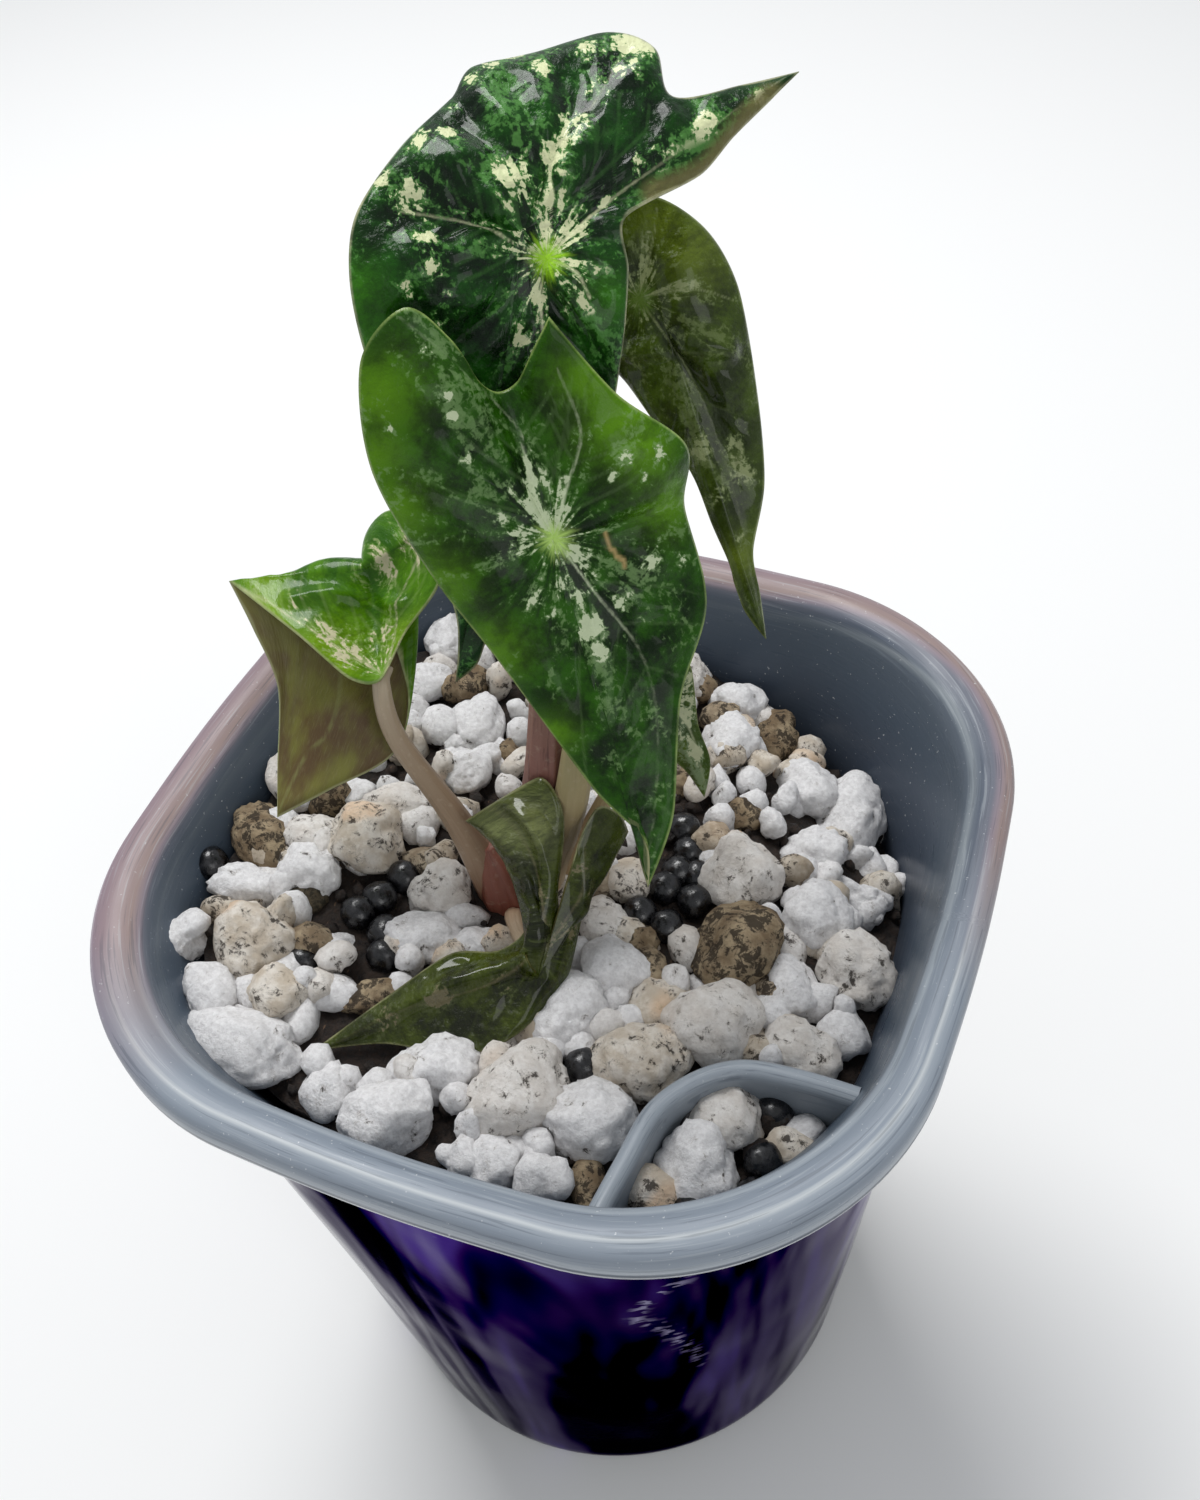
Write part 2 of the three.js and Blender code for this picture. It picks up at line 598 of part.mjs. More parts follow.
// The leaf stalks: a path from the crown to the star, and a radius at each point. The lower part
// of a stalk is the sheath that wraps the next one.
const STALKS = {
  left: {
    path: [[-7, -5, 101], [-8.5, -5.5, 109], [-12, -5.5, 119.5], [-17, -6, 132], [-19, -2.5, 139]],
    radii: [2.4, 1.7, 1.2, 1.05, 1.0],
  },
  top: {
    path: [[-4.5, -3.5, 101], [-3.5, -2.5, 112], [-0.5, -0.5, 128], [0.5, 6, 160], [0.5, 10.5, 185.5]],
    radii: [2.6, 2.5, 2.3, 1.5, 1.1],
  },
  front: {
    path: [[-3, -5, 101], [-0.5, -4, 112], [3.5, -2.5, 127], [5.5, 0, 148], [5.5, -4, 165]],
    radii: [2.2, 2.1, 1.9, 1.2, 1.0],
  },
  back: {
    path: [[-4.5, -1.5, 101], [-2, 2, 112], [1.5, 8, 130.5], [3, 18, 156], [3, 22.5, 171.5]],
    radii: [1.8, 1.6, 1.4, 1.1, 0.9],
  },
  small: {
    path: [[-4, -7.5, 102], [-3.5, -9.5, 107], [-1, -13, 108.5], [3, -16.4, 109.6]],
    radii: [1.5, 1.2, 0.9, 0.8],
  },
  hidden: {
    path: [[-2, -2.5, 102], [2, 1.5, 112], [7, 8, 124], [9, 11, 129.5]],
    radii: [1.4, 1.1, 0.9, 0.8],
  },
};

// Leaves that touch the grains.
const LYING_LEAVES = ["small"];

const crown = (extra = 0) => stem(CROWN_PATH, CROWN_RADII, extra, 10);

// Each stalk stops short of the crown, of the stalks made before it and of every leaf.
function stalks() {
  const leaves = joined(Object.values(LEAVES).map((leaf) => blade(leaf, BLADE + 2 * CLEARANCE)));
  const done = [];
  return Object.entries(STALKS).map(([name, { path, radii }]) => {
    const obstacles = joined([crown(CLEARANCE), leaves, ...done]);
    done.push(stem(path, radii, CLEARANCE));
    return [name, largestBody(stem(path, radii).subtract(obstacles))];
  });
}

function pottingMix() {
  const room = insideLiner(CLEARANCE);
  const away = PARTITION_THICKNESS / 2 + CLEARANCE;
  const mainRoom = room.subtract(portPrism(-away));
  const portRoom = room.intersect(portPrism(away));
  const portHeight = () => PORT_FILL_TOP;
  const raised = (height, by) => (x, y) => height(x, y) + by;
  const plantHole = joined([
    crown(CLEARANCE),
    ...Object.values(STALKS).map(({ path, radii }) => stem(path, radii, CLEARANCE)),
    ...LYING_LEAVES.flatMap((name) => [0, 2, 4].map((share) =>
      blade(LEAVES[name], BLADE + share * CLEARANCE))),
  ]);
  const roll = dice(FILL_SEED + 1);
  const bedOf = (room, height, prills) => {
    const beads = prills.map((place) => prill(place, height));
    return joined([room.intersect(below(height)), ...beads]).intersect(room);
  };
  const layerOf = (room, height, grains, prills) => {
    const lumps = grains.map((grain) => grainSolid(grain, height, roll));
    const beads = prills.map((place) => prill(place, height, CLEARANCE));
    return joined([below(raised(height, CLEARANCE + LAYER)), ...lumps]).intersect(room)
      .subtract(joined([below(raised(height, CLEARANCE)), ...beads]));
  };
  return {
    bed: largestBody(bedOf(mainRoom, bedHeight, PRILLS).subtract(plantHole)),
    portFill: largestBody(bedOf(portRoom, portHeight, PORT_PRILLS)),
    grains: largestBody(
      layerOf(mainRoom, bedHeight, [...GRAINS, ...fillGrains()], PRILLS).subtract(plantHole)),
    portGrains: largestBody(layerOf(portRoom, portHeight, PORT_GRAINS, PORT_PRILLS)),
  };
}

const group = new THREE.Group();

function addPart(name, solid, color, roughness, metalness = 0, options = {}) {
  const material = new THREE.MeshStandardMaterial({ color, roughness, metalness, ...options });
  const mesh = new THREE.Mesh(geometryOf(solid), material);
  mesh.name = name;
  group.add(mesh);
}

const mix = pottingMix();
addPart("outer_pot", outerPot(), 0x2a1466, 0.08, 0.9);
addPart("liner_pot", liner(), 0x66707c, 0.35, 0, { transparent: true, opacity: 0.75 });
addPart("potting_bed", mix.bed, 0x14110f, 0.6);
addPart("port_bed", mix.portFill, 0x14110f, 0.6);
addPart("perlite_grains", mix.grains, 0xe9e7e2, 0.9);
addPart("port_grains", mix.portGrains, 0xe9e7e2, 0.9);
addPart("crown", crown(), 0x8a4a38, 0.5);
for (const [name, solid] of stalks()) addPart(`stalk_${name}`, solid, 0xb09a7c, 0.45);
for (const [name, leaf] of Object.entries(LEAVES)) addPart(`leaf_${name}`, blade(leaf), 0x2f6b22, 0.35);

export default group;
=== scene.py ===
# %% [markdown]
# # A young alocasia in a double pot
#
# The solids of the part give the sizes. This script dresses them: it makes the leaves, stalks,
# grains and pots again with finer surfaces, gives each one a procedural material, and sets up the
# light and the camera. Lengths are typed in millimetres, and `MM` turns them into metres.

import json
import math

import bmesh
import bpy
import numpy as np
from mathutils import Matrix, Vector, noise

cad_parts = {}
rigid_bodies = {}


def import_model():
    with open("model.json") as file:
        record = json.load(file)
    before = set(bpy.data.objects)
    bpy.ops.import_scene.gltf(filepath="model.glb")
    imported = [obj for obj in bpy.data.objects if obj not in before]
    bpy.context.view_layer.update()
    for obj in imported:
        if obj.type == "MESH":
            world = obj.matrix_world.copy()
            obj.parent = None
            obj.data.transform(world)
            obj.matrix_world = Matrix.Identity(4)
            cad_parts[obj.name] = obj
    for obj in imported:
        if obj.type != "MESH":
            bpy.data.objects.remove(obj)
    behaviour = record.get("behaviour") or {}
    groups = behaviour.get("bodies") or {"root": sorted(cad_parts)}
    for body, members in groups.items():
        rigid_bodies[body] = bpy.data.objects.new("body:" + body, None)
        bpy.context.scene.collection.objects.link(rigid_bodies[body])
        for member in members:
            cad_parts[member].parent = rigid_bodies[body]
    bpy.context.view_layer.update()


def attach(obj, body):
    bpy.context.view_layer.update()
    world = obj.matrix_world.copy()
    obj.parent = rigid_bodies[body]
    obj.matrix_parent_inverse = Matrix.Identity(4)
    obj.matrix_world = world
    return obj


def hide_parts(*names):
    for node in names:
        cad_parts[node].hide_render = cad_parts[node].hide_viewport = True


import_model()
scene = bpy.context.scene

# %% [markdown]
# ## Camera
#
# A photograph is seen from one place. A camera could be moved by eye until the picture looks alike,
# but a fitted one shows every later error as an error of shape. This one was fitted to the outline
# of the pot's rim, its sides and its foot. It looks down at 47 degrees and is rolled by 6 degrees.

# %% Camera
CAMERA_AZIMUTH = 25.76  # degrees, from -Y towards +X
CAMERA_HEIGHT = 47.4  # degrees above the horizon
CAMERA_ROLL = -5.99
CAMERA_TARGET = (0.75, 11.29, 117.7)
CAMERA_DISTANCE = 183.5
CAMERA_LENS = 34.4  # on a 36 mm sensor, along the picture's long side
MM = 0.001


def camera_matrix():
    azimuth, height, roll = (math.radians(a) for a in (CAMERA_AZIMUTH, CAMERA_HEIGHT, CAMERA_ROLL))
    back = Vector((
        math.sin(azimuth) * math.cos(height),
        -math.cos(azimuth) * math.cos(height),
        math.sin(height),
    ))
    level = Vector((math.cos(azimuth), math.sin(azimuth), 0))
    rise = back.cross(level)
    right = level * math.cos(roll) + rise * math.sin(roll)
    up = back.cross(right)
    place = (Vector(CAMERA_TARGET) + back * CAMERA_DISTANCE) * MM
    matrix = Matrix((right, up, back)).transposed().to_4x4()
    matrix.translation = place
    return matrix


camera = bpy.data.objects.new("camera", bpy.data.cameras.new("camera"))
camera.data.lens = CAMERA_LENS
camera.data.sensor_width = 36
camera.data.clip_start = 0.005
camera.matrix_world = camera_matrix()
scene.collection.objects.link(camera)
scene.camera = camera
scene.view_settings.view_transform = "Standard"  # so that a hex colour shows as it is typed
print("camera at", [round(v, 3) for v in camera.matrix_world.translation])

# %% [markdown]
# ## Small helpers
#
# Colours are typed as hex codes and turned to linear light here. Nodes could be placed by hand in
# the editor, but a script can be read and changed. `add` makes one shader or geometry node, sets
# its properties and fills its sockets with numbers or with links. `paint` lays one colour over
# another by a mask, which is how every finish below is built up.
#
# A pattern's scale is how often it fits into one unit. Object coordinates are in metres, so
# METRE / 1.5 draws a pattern 1.5 mm wide. The UV maps named "flat" are in centimetres, so there it
# is CENTIMETRE / 1.5. Both ways the real size in millimetres can be read from the line.


# %% Helpers for colours and nodes
METRE, CENTIMETRE = 1000.0, 10.0  # in millimetres
SMOOTH = {"interpolation_type": "SMOOTHSTEP"}
COLOURS = {"data_type": "RGBA"}


def colour(code):
    channels = [int(code[i:i + 2], 16) / 255 for i in (1, 3, 5)]
    linear = [c / 12.92 if c <= 0.04045 else ((c + 0.055) / 1.055) ** 2.4 for c in channels]
    return (*linear, 1.0)


def feed(tree, socket, value):
    """Link a socket to a node or to one output, or type a number or a hex colour into it."""
    if isinstance(value, bpy.types.Node):
        value = next(output for output in value.outputs if output.enabled)
    if isinstance(value, bpy.types.NodeSocket):
        tree.links.new(value, socket)
    else:
        socket.default_value = colour(value) if str(value).startswith("#") else value


def add(tree, kind, sockets=(), **settings):
    """Add a node of any kind. Its sockets are values in order, or keyed by name or number."""
    made = tree.nodes.new(kind)
    for key, value in settings.items():
        setattr(made, key, value)
    for key, value in (sockets.items() if isinstance(sockets, dict) else enumerate(sockets)):
        feed(tree, made.inputs[key], value)
    return made


def plug(tree, shader, **inputs):
    for key, value in inputs.items():
        feed(tree, shader.inputs[key.replace("_", " ")], value)


def new_material(name):
    made = bpy.data.materials.new(name)
    made.use_nodes = True
    return made, made.node_tree, made.node_tree.nodes["Principled BSDF"]


# %% Helpers for layers of colour
def paint(tree, below, above, value, low, high, first=0.0, last=1.0):
    """Lay one colour over another. As the value goes from low to high, the cover goes from
    first to last."""
    cover = add(tree, "ShaderNodeMapRange", [value, low, high, first, last], **SMOOTH)
    return add(tree, "ShaderNodeMix", {0: cover, 6: below, 7: above}, **COLOURS)


def weighted(tree, *parts):
    """The sum of some values, each given with its weight."""
    total = 0.0
    for value, weight in parts:
        total = add(tree, "ShaderNodeMath", [value, weight, total], operation="MULTIPLY_ADD")
    return total


print("violet in linear light:", [round(c, 3) for c in colour("#54448c")])

# %% [markdown]
# A piece could be modelled by hand or by modifiers. Here each mesh is worked out from lists of
# points in millimetres, because the solids are given that way and the two have to agree. Numbers
# that a material needs at each point, such as the distance to the nearest vein, are stored on the
# mesh as attributes. `dress` attaches a piece to the root body and hides the part's nodes that it
# stands for.


# %% Helpers for meshes
def make_piece(name, points, faces, materials, values=None, uv=None, face_slots=None, vectors=None):
    mesh = bpy.data.meshes.new(name)
    mesh.from_pydata((np.asarray(points) * MM).tolist(), [], faces)
    for material in materials:
        mesh.materials.append(material)
    if face_slots is not None:
        mesh.polygons.foreach_set("material_index", face_slots)
    for key, numbers in (values or {}).items():
        layer = mesh.attributes.new(key, "FLOAT", "POINT")
        layer.data.foreach_set("value", np.asarray(numbers, dtype=np.float32))
    for key, numbers in (vectors or {}).items():
        layer = mesh.attributes.new(key, "FLOAT_VECTOR", "POINT")
        layer.data.foreach_set("vector", np.asarray(numbers, dtype=np.float32).ravel())
    if uv is not None:
        corners = np.zeros(len(mesh.loops), dtype=np.int32)
        mesh.loops.foreach_get("vertex_index", corners)
        layer = mesh.uv_layers.new(name="flat")
        layer.data.foreach_set("uv", np.asarray(uv, dtype=np.float32)[corners].ravel())
    mesh.shade_smooth()
    piece = bpy.data.objects.new(name, mesh)
    scene.collection.objects.link(piece)
    return piece


def dress(piece, slot, *nodes):
    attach(piece, "root")
    if nodes:
        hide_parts(*nodes)


def smooth_line(points, count):
    """A Catmull-Rom line through rows of numbers, at count even steps."""
    rows = np.asarray(points, dtype=float)
    ends = np.vstack([2 * rows[0] - rows[1], rows, 2 * rows[-1] - rows[-2]])
    places = np.linspace(0, len(rows) - 1, count)
    index = np.minimum(places.astype(int), len(rows) - 2)
    s = (places - index)[:, None]
    a, b, c, d = (ends[index + k] for k in range(4))
    return 0.5 * (2 * b + (c - a) * s + (2 * a - 5 * b + 4 * c - d) * s ** 2
                  + (3 * b - a - 3 * c + d) * s ** 3)


def nearest(points, line):
    """Distance from each point to the nearest sample of a line."""
    least = np.full(len(points), 1e9)
    for chunk in np.array_split(line, max(1, len(line) // 200)):
        gap = points[:, None, :] - chunk[None, :, :]
        least = np.minimum(least, np.sqrt((gap ** 2).sum(axis=2)).min(axis=1))
    return least


print("points on a test line:", len(smooth_line([(0, 0), (1, 1)], 5)))

# %% [markdown]
# ## The two pots
#
# A self-watering pot is two thin moulded shells: a glossy outer pot that holds water, and a liner
# with the plant, whose wide rim rests on it. Seen from above both are rounded squares whose sides
# swell a little. A bevelled cube would give such a form too, but a mould's wall changes its slope
# and its corners on the way up. So the wall is typed as rows, up the outside and down the inside,
# and turned into rings with many more facets than in the solids, for clean reflections.

# %% Pot profiles
RIM_CORNER = 0.635  # corner: 1 is round, less is squarer
RIM_HALF = 50  # millimetres
SIDE_BOW = 1.56
POT_SIDES = 240
PROFILE_STEP = 2.0
OUTER_ROWS = [  # half-width, height, corner: up the outside, over the edge and down the inside
    (31.5, 0, 1), (38.6, 0, 1), (39.6, 0.3, 1), (40.2, 1.0, 1), (40.4, 2.0, 1), (41.2, 12, 0.99),
    (42.8, 30, 0.97), (44.3, 50, 0.95), (46.3, 74, 0.91), (48.0, 96, 0.86), (48.8, 106, 0.8),
    (49.6, 111, 0.7), (50.0, 113.5, 0.635), (50.0, 114.6, 0.635), (49.8, 114.9, 0.635),
    (48.4, 114.9, 0.635), (48.2, 113.5, 0.635), (47.8, 111, 0.7), (47.0, 106, 0.8), (46.2, 96, 0.86),
    (42.5, 50, 0.95), (38.7, 4.2, 1), (35.4, 3, 1), (0, 3, 1),
]
FOOT_RECESS = [(0, 1.2, 1), (30, 1.2, 1), (31.5, 0, 1)]
INNER_WALL = [
    (36.5, 32, 0.9), (38.6, 60, 0.85), (40.4, 88, 0.78), (41.9, 99, 0.72), (45.2, 111, 0.65),
    (47.0, 116.4, 0.635),
]
LINER_ROWS = [
    (0, 30, 0.9), (35.6, 30, 0.9), (37.7, 32.8, 0.9), (39.9, 60, 0.85), (41.7, 88, 0.78),
    (43.2, 99, 0.72), (46.5, 111, 0.65), (47.6, 115.2, 0.635), (50.3, 115.2, 0.635),
    (50.4, 112.2, 0.635), (51.6, 112.2, 0.635), (52.2, 112.5, 0.635), (52.4, 113.2, 0.635),
    (52.44, 114.3, 0.635), (52.44, 115.6, 0.635), (52.3, 116.5, 0.635), (51.8, 117.2, 0.635),
    (51.0, 117.55, 0.635), (50.3, 117.65, 0.635), (49.4, 117.6, 0.635), (48.6, 117.35, 0.635),
    (47.9, 117.0, 0.635), (47.3, 116.667, 0.635), (47.0, 116.3, 0.635), (46.4, 114.6, 0.64),
    (45.2, 111, 0.65), (43.6, 105, 0.685), (41.9, 99, 0.72), (40.4, 88, 0.78), (38.6, 60, 0.85),
    (36.5, 32, 0.9), (0, 32, 0.9),
]
print("profile rows:", len(OUTER_ROWS), "outer,", len(LINER_ROWS), "liner")


# %% Rings from a profile
def ring_radius(angle, half, corner):
    """How far the wall is from the pot's axis at an angle: a rounded square with bowed sides."""
    bow = SIDE_BOW * (1 - corner) / (1 - RIM_CORNER)
    flat = half - bow
    straight = flat * (1 - corner)
    cos, sin = np.abs(np.cos(angle)), np.abs(np.sin(angle))
    side = flat / np.maximum(cos, sin)
    along = straight * (cos + sin)
    arc = along + np.sqrt(np.maximum(along ** 2 - 2 * straight ** 2 + (flat * corner) ** 2, 0))
    radius = np.where(side * np.minimum(cos, sin) > straight, arc, side)
    return radius + bow * (0.5 + 0.5 * np.cos(4 * angle))


def finer(rows, step):
    """The same profile with rows added so that none is further than a step from the next."""
    made = [rows[0]]
    for before, after in zip(rows, rows[1:]):
        parts = max(1, round(math.dist(before[:2], after[:2]) / step)) if after[0] and before[0] else 1
        made += [tuple(b + (a - b) * k / parts for a, b in zip(after, before)) for k in range(1, parts + 1)]
    return made


def revolve(rows):
    """Points, faces and flat coordinates in centimetres (along the ring, along the profile)."""
    sides = POT_SIDES
    angles = 2 * np.pi * (np.arange(sides) + 0.5) / sides
    points, flat, rings = [], [], []
    length, before = 0.0, None
    for half, height, corner in rows:
        if before is not None:
            length += math.dist(before, (half, height))
        before = (half, height)
        flat += [(a * RIM_HALF / CENTIMETRE, length / CENTIMETRE) for a in (angles if half else [0.0])]
        first = len(points)
        if half == 0:
            points.append((0, 0, height))
            rings.append([first] * sides)
            continue
        radius = ring_radius(angles, half, corner)
        points += [(r * math.cos(a), r * math.sin(a), height) for r, a in zip(radius, angles)]
        rings.append(list(range(first, first + sides)))
    faces = []
    for low, high in zip(rings, rings[1:]):
        for k in range(sides):
            n = (k + 1) % sides
            corners = [low[k], low[n], high[n], high[k]]
            faces.append(list(dict.fromkeys(corners)))
    return points, faces, flat


print("rim corner reaches", round(float(ring_radius(np.pi / 4, RIM_HALF, RIM_CORNER)), 2), "mm")

# %% [markdown]
# The outer pot is vacuum-metallised plastic: moulded, coated with a film of metal, and lacquered
# violet. To the eye it is a mirror with slight waves in its skin, and the waves break a highlight
# into short bright strokes. Surroundings could be built for it to reflect, but the part has to
# work in any light. So its reflections are painted on the metal instead: bands from near black to
# violet, and short pale strokes as painted highlights.

# %% Material: violet metallised plastic
pot_material, tree, shader = new_material("violet_metallised_plastic")
place = add(tree, "ShaderNodeTexCoord").outputs["Object"]
# soft waves 17 mm across and 70 mm tall in the skin, and a fainter orange peel 1 mm across
tall = add(tree, "ShaderNodeMapping", {
    "Vector": place, "Scale": (METRE / 16.667, METRE / 16.667, METRE / 71.43)})
waves = add(tree, "ShaderNodeTexNoise", {
    "Vector": tall, "Scale": 1.0, "Detail": 2.0, "Roughness": 0.4, "Distortion": 0.6})
peel = add(tree, "ShaderNodeTexNoise", {
    "Vector": place, "Scale": METRE / 1.1111, "Detail": 2.0, "Roughness": 0.55})
skin = add(tree, "ShaderNodeBump", {"Height": waves, "Distance": 3 * MM, "Strength": 0.6})
skin = add(tree, "ShaderNodeBump", {
    "Height": peel, "Distance": 0.02 * MM, "Strength": 0.4, "Normal": skin})
# painted reflections: upright bands in the metal's colour, from violet through indigo to near black
upright = add(tree, "ShaderNodeMapping", {
    "Vector": place, "Scale": (METRE / 19.23, METRE / 19.23, METRE / 166.67)})
painted_reflection_bands = add(tree, "ShaderNodeTexNoise", {
    "Vector": upright, "Scale": 1.0, "Detail": 3.0, "Roughness": 0.55, "Distortion": 0.5})
violet = paint(tree, "#030206", "#161029", painted_reflection_bands, 0.46, 0.54)
violet = paint(tree, violet, "#54448c", painted_reflection_bands, 0.56, 0.62)
# seen at a slant the skin is brighter, and the dark bands less so than the rest
slant = paint(tree, "#5c5572", "#a8a0c0", painted_reflection_bands, 0.46, 0.58)
# painted highlights: broken pale strokes, strays in the bright bands and a chain on the near side
short = add(tree, "ShaderNodeMapping", {
    "Vector": place, "Scale": (METRE / 6.6667, METRE / 6.6667, METRE / 2.381)})
highlight_strokes = add(tree, "ShaderNodeTexNoise", {
    "Vector": short, "Scale": 1.0, "Detail": 2.0, "Roughness": 0.5, "Distortion": 1.2})
in_bright = add(tree, "ShaderNodeMapRange", [painted_reflection_bands, 0.6, 0.7], **SMOOTH)
stray_highlights = add(tree, "ShaderNodeMapRange", [highlight_strokes, 0.68, 0.74, 0.0, in_bright], **SMOOTH)
tiny = add(tree, "ShaderNodeMapping", {
    "Vector": place, "Scale": (METRE / 2.381, METRE / 2.381, METRE / 1.1111)})
dashes = add(tree, "ShaderNodeTexNoise", {
    "Vector": tiny, "Scale": 1.0, "Detail": 1.0, "Roughness": 0.5})
near_side = add(tree, "ShaderNodeAttribute", attribute_name="painted_highlight_chain").outputs["Fac"]
highlight_chain = add(tree, "ShaderNodeMapRange", [dashes, 0.5, 0.55, 0.0, near_side], **SMOOTH)
# painted highlights: the strays and the chain together, laid over the metal as a pale colour
pale = add(tree, "ShaderNodeMath", [stray_highlights, highlight_chain], operation="MAXIMUM")
violet = add(tree, "ShaderNodeMix", {0: pale, 6: violet, 7: "#ece8fb"}, **COLOURS)
plug(tree, shader, Base_Color=violet, Metallic=1.0, Roughness=0.09, Normal=skin,
     Specular_Tint=slant)
print("made", pot_material.name)

# %% [markdown]
# The liner is frosted polypropylene, smoke grey and slightly translucent. Its rim is thin and lets
# the violet pot below tint it, so the edge is mauve on three sides. Real translucency is slow and
# noisy to render, so the tint is a colour that follows the profile over the rim. Dust and faint
# moulding streaks lie on the flange.

# %% Material: frosted grey plastic
def colours_along(tree, value, low, high, stops):
    """Colours at given millimetres along a profile: (millimetre, hex colour), the two ends first."""
    share = add(tree, "ShaderNodeMapRange", [value, low, high])
    made = add(tree, "ShaderNodeValToRGB", [share])
    elements = made.color_ramp.elements
    for number, (at, code) in enumerate(stops):
        element = elements[number] if number < 2 else elements.new((at - low) / (high - low))
        element.color = colour(code)
    return made


liner_material, tree, shader = new_material("frosted_smoke_grey_plastic")
place = add(tree, "ShaderNodeTexCoord").outputs["Object"]
# over: millimetres along the profile, up the skirt and over the rim
over, height, on_rim, mauve_share, mauve_reach = (
    add(tree, "ShaderNodeAttribute", attribute_name=key).outputs["Fac"]
    for key in ("over", "height", "rim", "mauve", "mauve_reach"))
# moulding streaks run round the rim, 14 mm long and 0.4 mm wide, the finest that show
around = add(tree, "ShaderNodeUVMap", uv_map="flat")
along = add(tree, "ShaderNodeMapping", {
    "Vector": around, "Scale": (CENTIMETRE / 14.286, CENTIMETRE / 0.41667, 1)})
streaks = add(tree, "ShaderNodeTexNoise", {
    "Vector": along, "Scale": 1.0, "Detail": 3.0, "Roughness": 0.6})
# painted shade: the inner wall is darker the deeper it lies in the liner, from 118 mm down to 90 mm
wall = colours_along(tree, height, 90, 118, [
    (90, "#30353f"), (118, "#7d868d"), (104, "#434c59"), (109, "#4a5562"), (114, "#525d69"),
    (116, "#636d78")])
# painted highlights: the pale lines in the rim's colours, here and in its mauve colours below, lie where
# its edges catch the light
rim = colours_along(tree, over, 0, 13, [
    (0, "#a9adb2"), (13, "#56606b"), (1.5, "#c9cdd0"), (1.75, "#4c5460"), (2.1, "#59616d"),
    (2.4, "#a2a9b1"), (3.3, "#99a1a9"), (3.7, "#8b949f"), (5.6, "#8e97a2"), (6.5, "#99a1aa"),
    (6.9, "#bcc1c4"), (7.3, "#868f9a"), (9.4, "#7f8893"), (9.8, "#98a0a8"), (10.4, "#8a929b"),
    (10.9, "#646c76")])
mauve_over = add(tree, "ShaderNodeMath", [over, mauve_reach], operation="SUBTRACT")
rim_mauve = colours_along(tree, mauve_over, 0, 13, [
    (0, "#9a8fa0"), (13, "#5a636e"), (1.5, "#93818f"), (2.2, "#8e7c84"), (6.0, "#968480"),
    (6.9, "#8d828a"), (7.6, "#6d707b"), (8.8, "#59616e"), (9.4, "#69717b"), (9.8, "#858c92"),
    (10.3, "#7b838a"), (10.9, "#626b76")])
rim = add(tree, "ShaderNodeMix", {0: mauve_share, 6: rim, 7: rim_mauve}, **COLOURS)
plastic = add(tree, "ShaderNodeMix", {0: on_rim, 6: wall, 7: rim}, **COLOURS)
for tone, low, high, most in (("#c0c6ca", 0.56, 0.66, 0.25), ("#454d58", 0.44, 0.36, 0.35)):
    cover = add(tree, "ShaderNodeMath", [on_rim, most], operation="MULTIPLY")
    plastic = paint(tree, plastic, tone, streaks, low, high, last=cover)
dust = add(tree, "ShaderNodeTexNoise", {
    "Vector": place, "Scale": METRE / 0.47619, "Detail": 2.0, "Roughness": 0.6})
plastic = paint(tree, plastic, "#d8dadc", dust, 0.70, 0.74, last=0.6)
flat_patches = add(tree, "ShaderNodeMapping", {
    "Vector": place, "Scale": (METRE / 11.111, METRE / 11.111, METRE / 2)})
haze = add(tree, "ShaderNodeTexNoise", {
    "Vector": flat_patches, "Scale": 1.0, "Detail": 3.0, "Roughness": 0.55})
frost = add(tree, "ShaderNodeMapRange", [haze, 0.2, 0.8, 0.24, 0.4], **SMOOTH)
skin = add(tree, "ShaderNodeBump", {"Height": streaks, "Distance": 0.06 * MM, "Strength": 0.5})
plug(tree, shader, Base_Color=plastic, Roughness=frost, Normal=skin, Specular_IOR_Level=0.22)
print("made", liner_material.name)

# %% [markdown]
# The outer pot and the liner are revolved from their profiles. The chain of painted highlights on
# the pot and the tints of the rim could be painted as images. They are stored on the points as plain
# numbers instead, by their distance from a line or round the rim, so that the material stays
# procedural.

# %% Make the outer pot
HIGHLIGHT_CHAIN_WIDTH = 0.8
HIGHLIGHT_CHAIN_LINE = [  # a line on the near side along which a chain of highlights is painted
    (29.7, -39.6, 91), (26.9, -41.2, 89), (24.5, -42, 84), (23.4, -41.9, 79), (25.7, -39.8, 73),
    (27.2, -37.9, 65), (28.3, -35.8, 56), (28.3, -34.9, 50),
]
points, faces, flat = revolve(FOOT_RECESS[:-1] + finer(OUTER_ROWS, PROFILE_STEP))
highlight_chain_gap = nearest(np.array(points), smooth_line(HIGHLIGHT_CHAIN_LINE, 120))
outer_pot = make_piece("outer_pot_skin", points, faces, [pot_material], {
    "painted_highlight_chain": np.clip(1.5 - highlight_chain_gap / HIGHLIGHT_CHAIN_WIDTH, 0, 1)}, flat)
dress(outer_pot, "metallised_purple", "outer_pot")
print("outer pot:", len(outer_pot.data.polygons), "faces")

# %% Make the liner
RIM_LENGTH = 13  # millimetres of the profile that have the rim's colours
NEAR_CORNER, RIGHT_SIDE = -1.12, -0.35  # radians round the pot
points, faces, flat = revolve(LINER_ROWS)
xyz = np.array(points)
# millimetres from the foot of the skirt, up and over the rim and down the inside
skirt_foot = next(j for j, row in enumerate(LINER_ROWS) if row[:2] == (51.6, 112.2))
start = flat[1 + (skirt_foot - 1) * POT_SIDES][1]
over = (np.array(flat)[:, 1] - start) * CENTIMETRE
way = np.arctan2(xyz[:, 1], xyz[:, 0])
# the violet pot tints the rim on the left, at the back and on the right, not at the near corner
mauve = np.clip(2.5 * (0.6 - np.cos(way - NEAR_CORNER)), 0, 1)
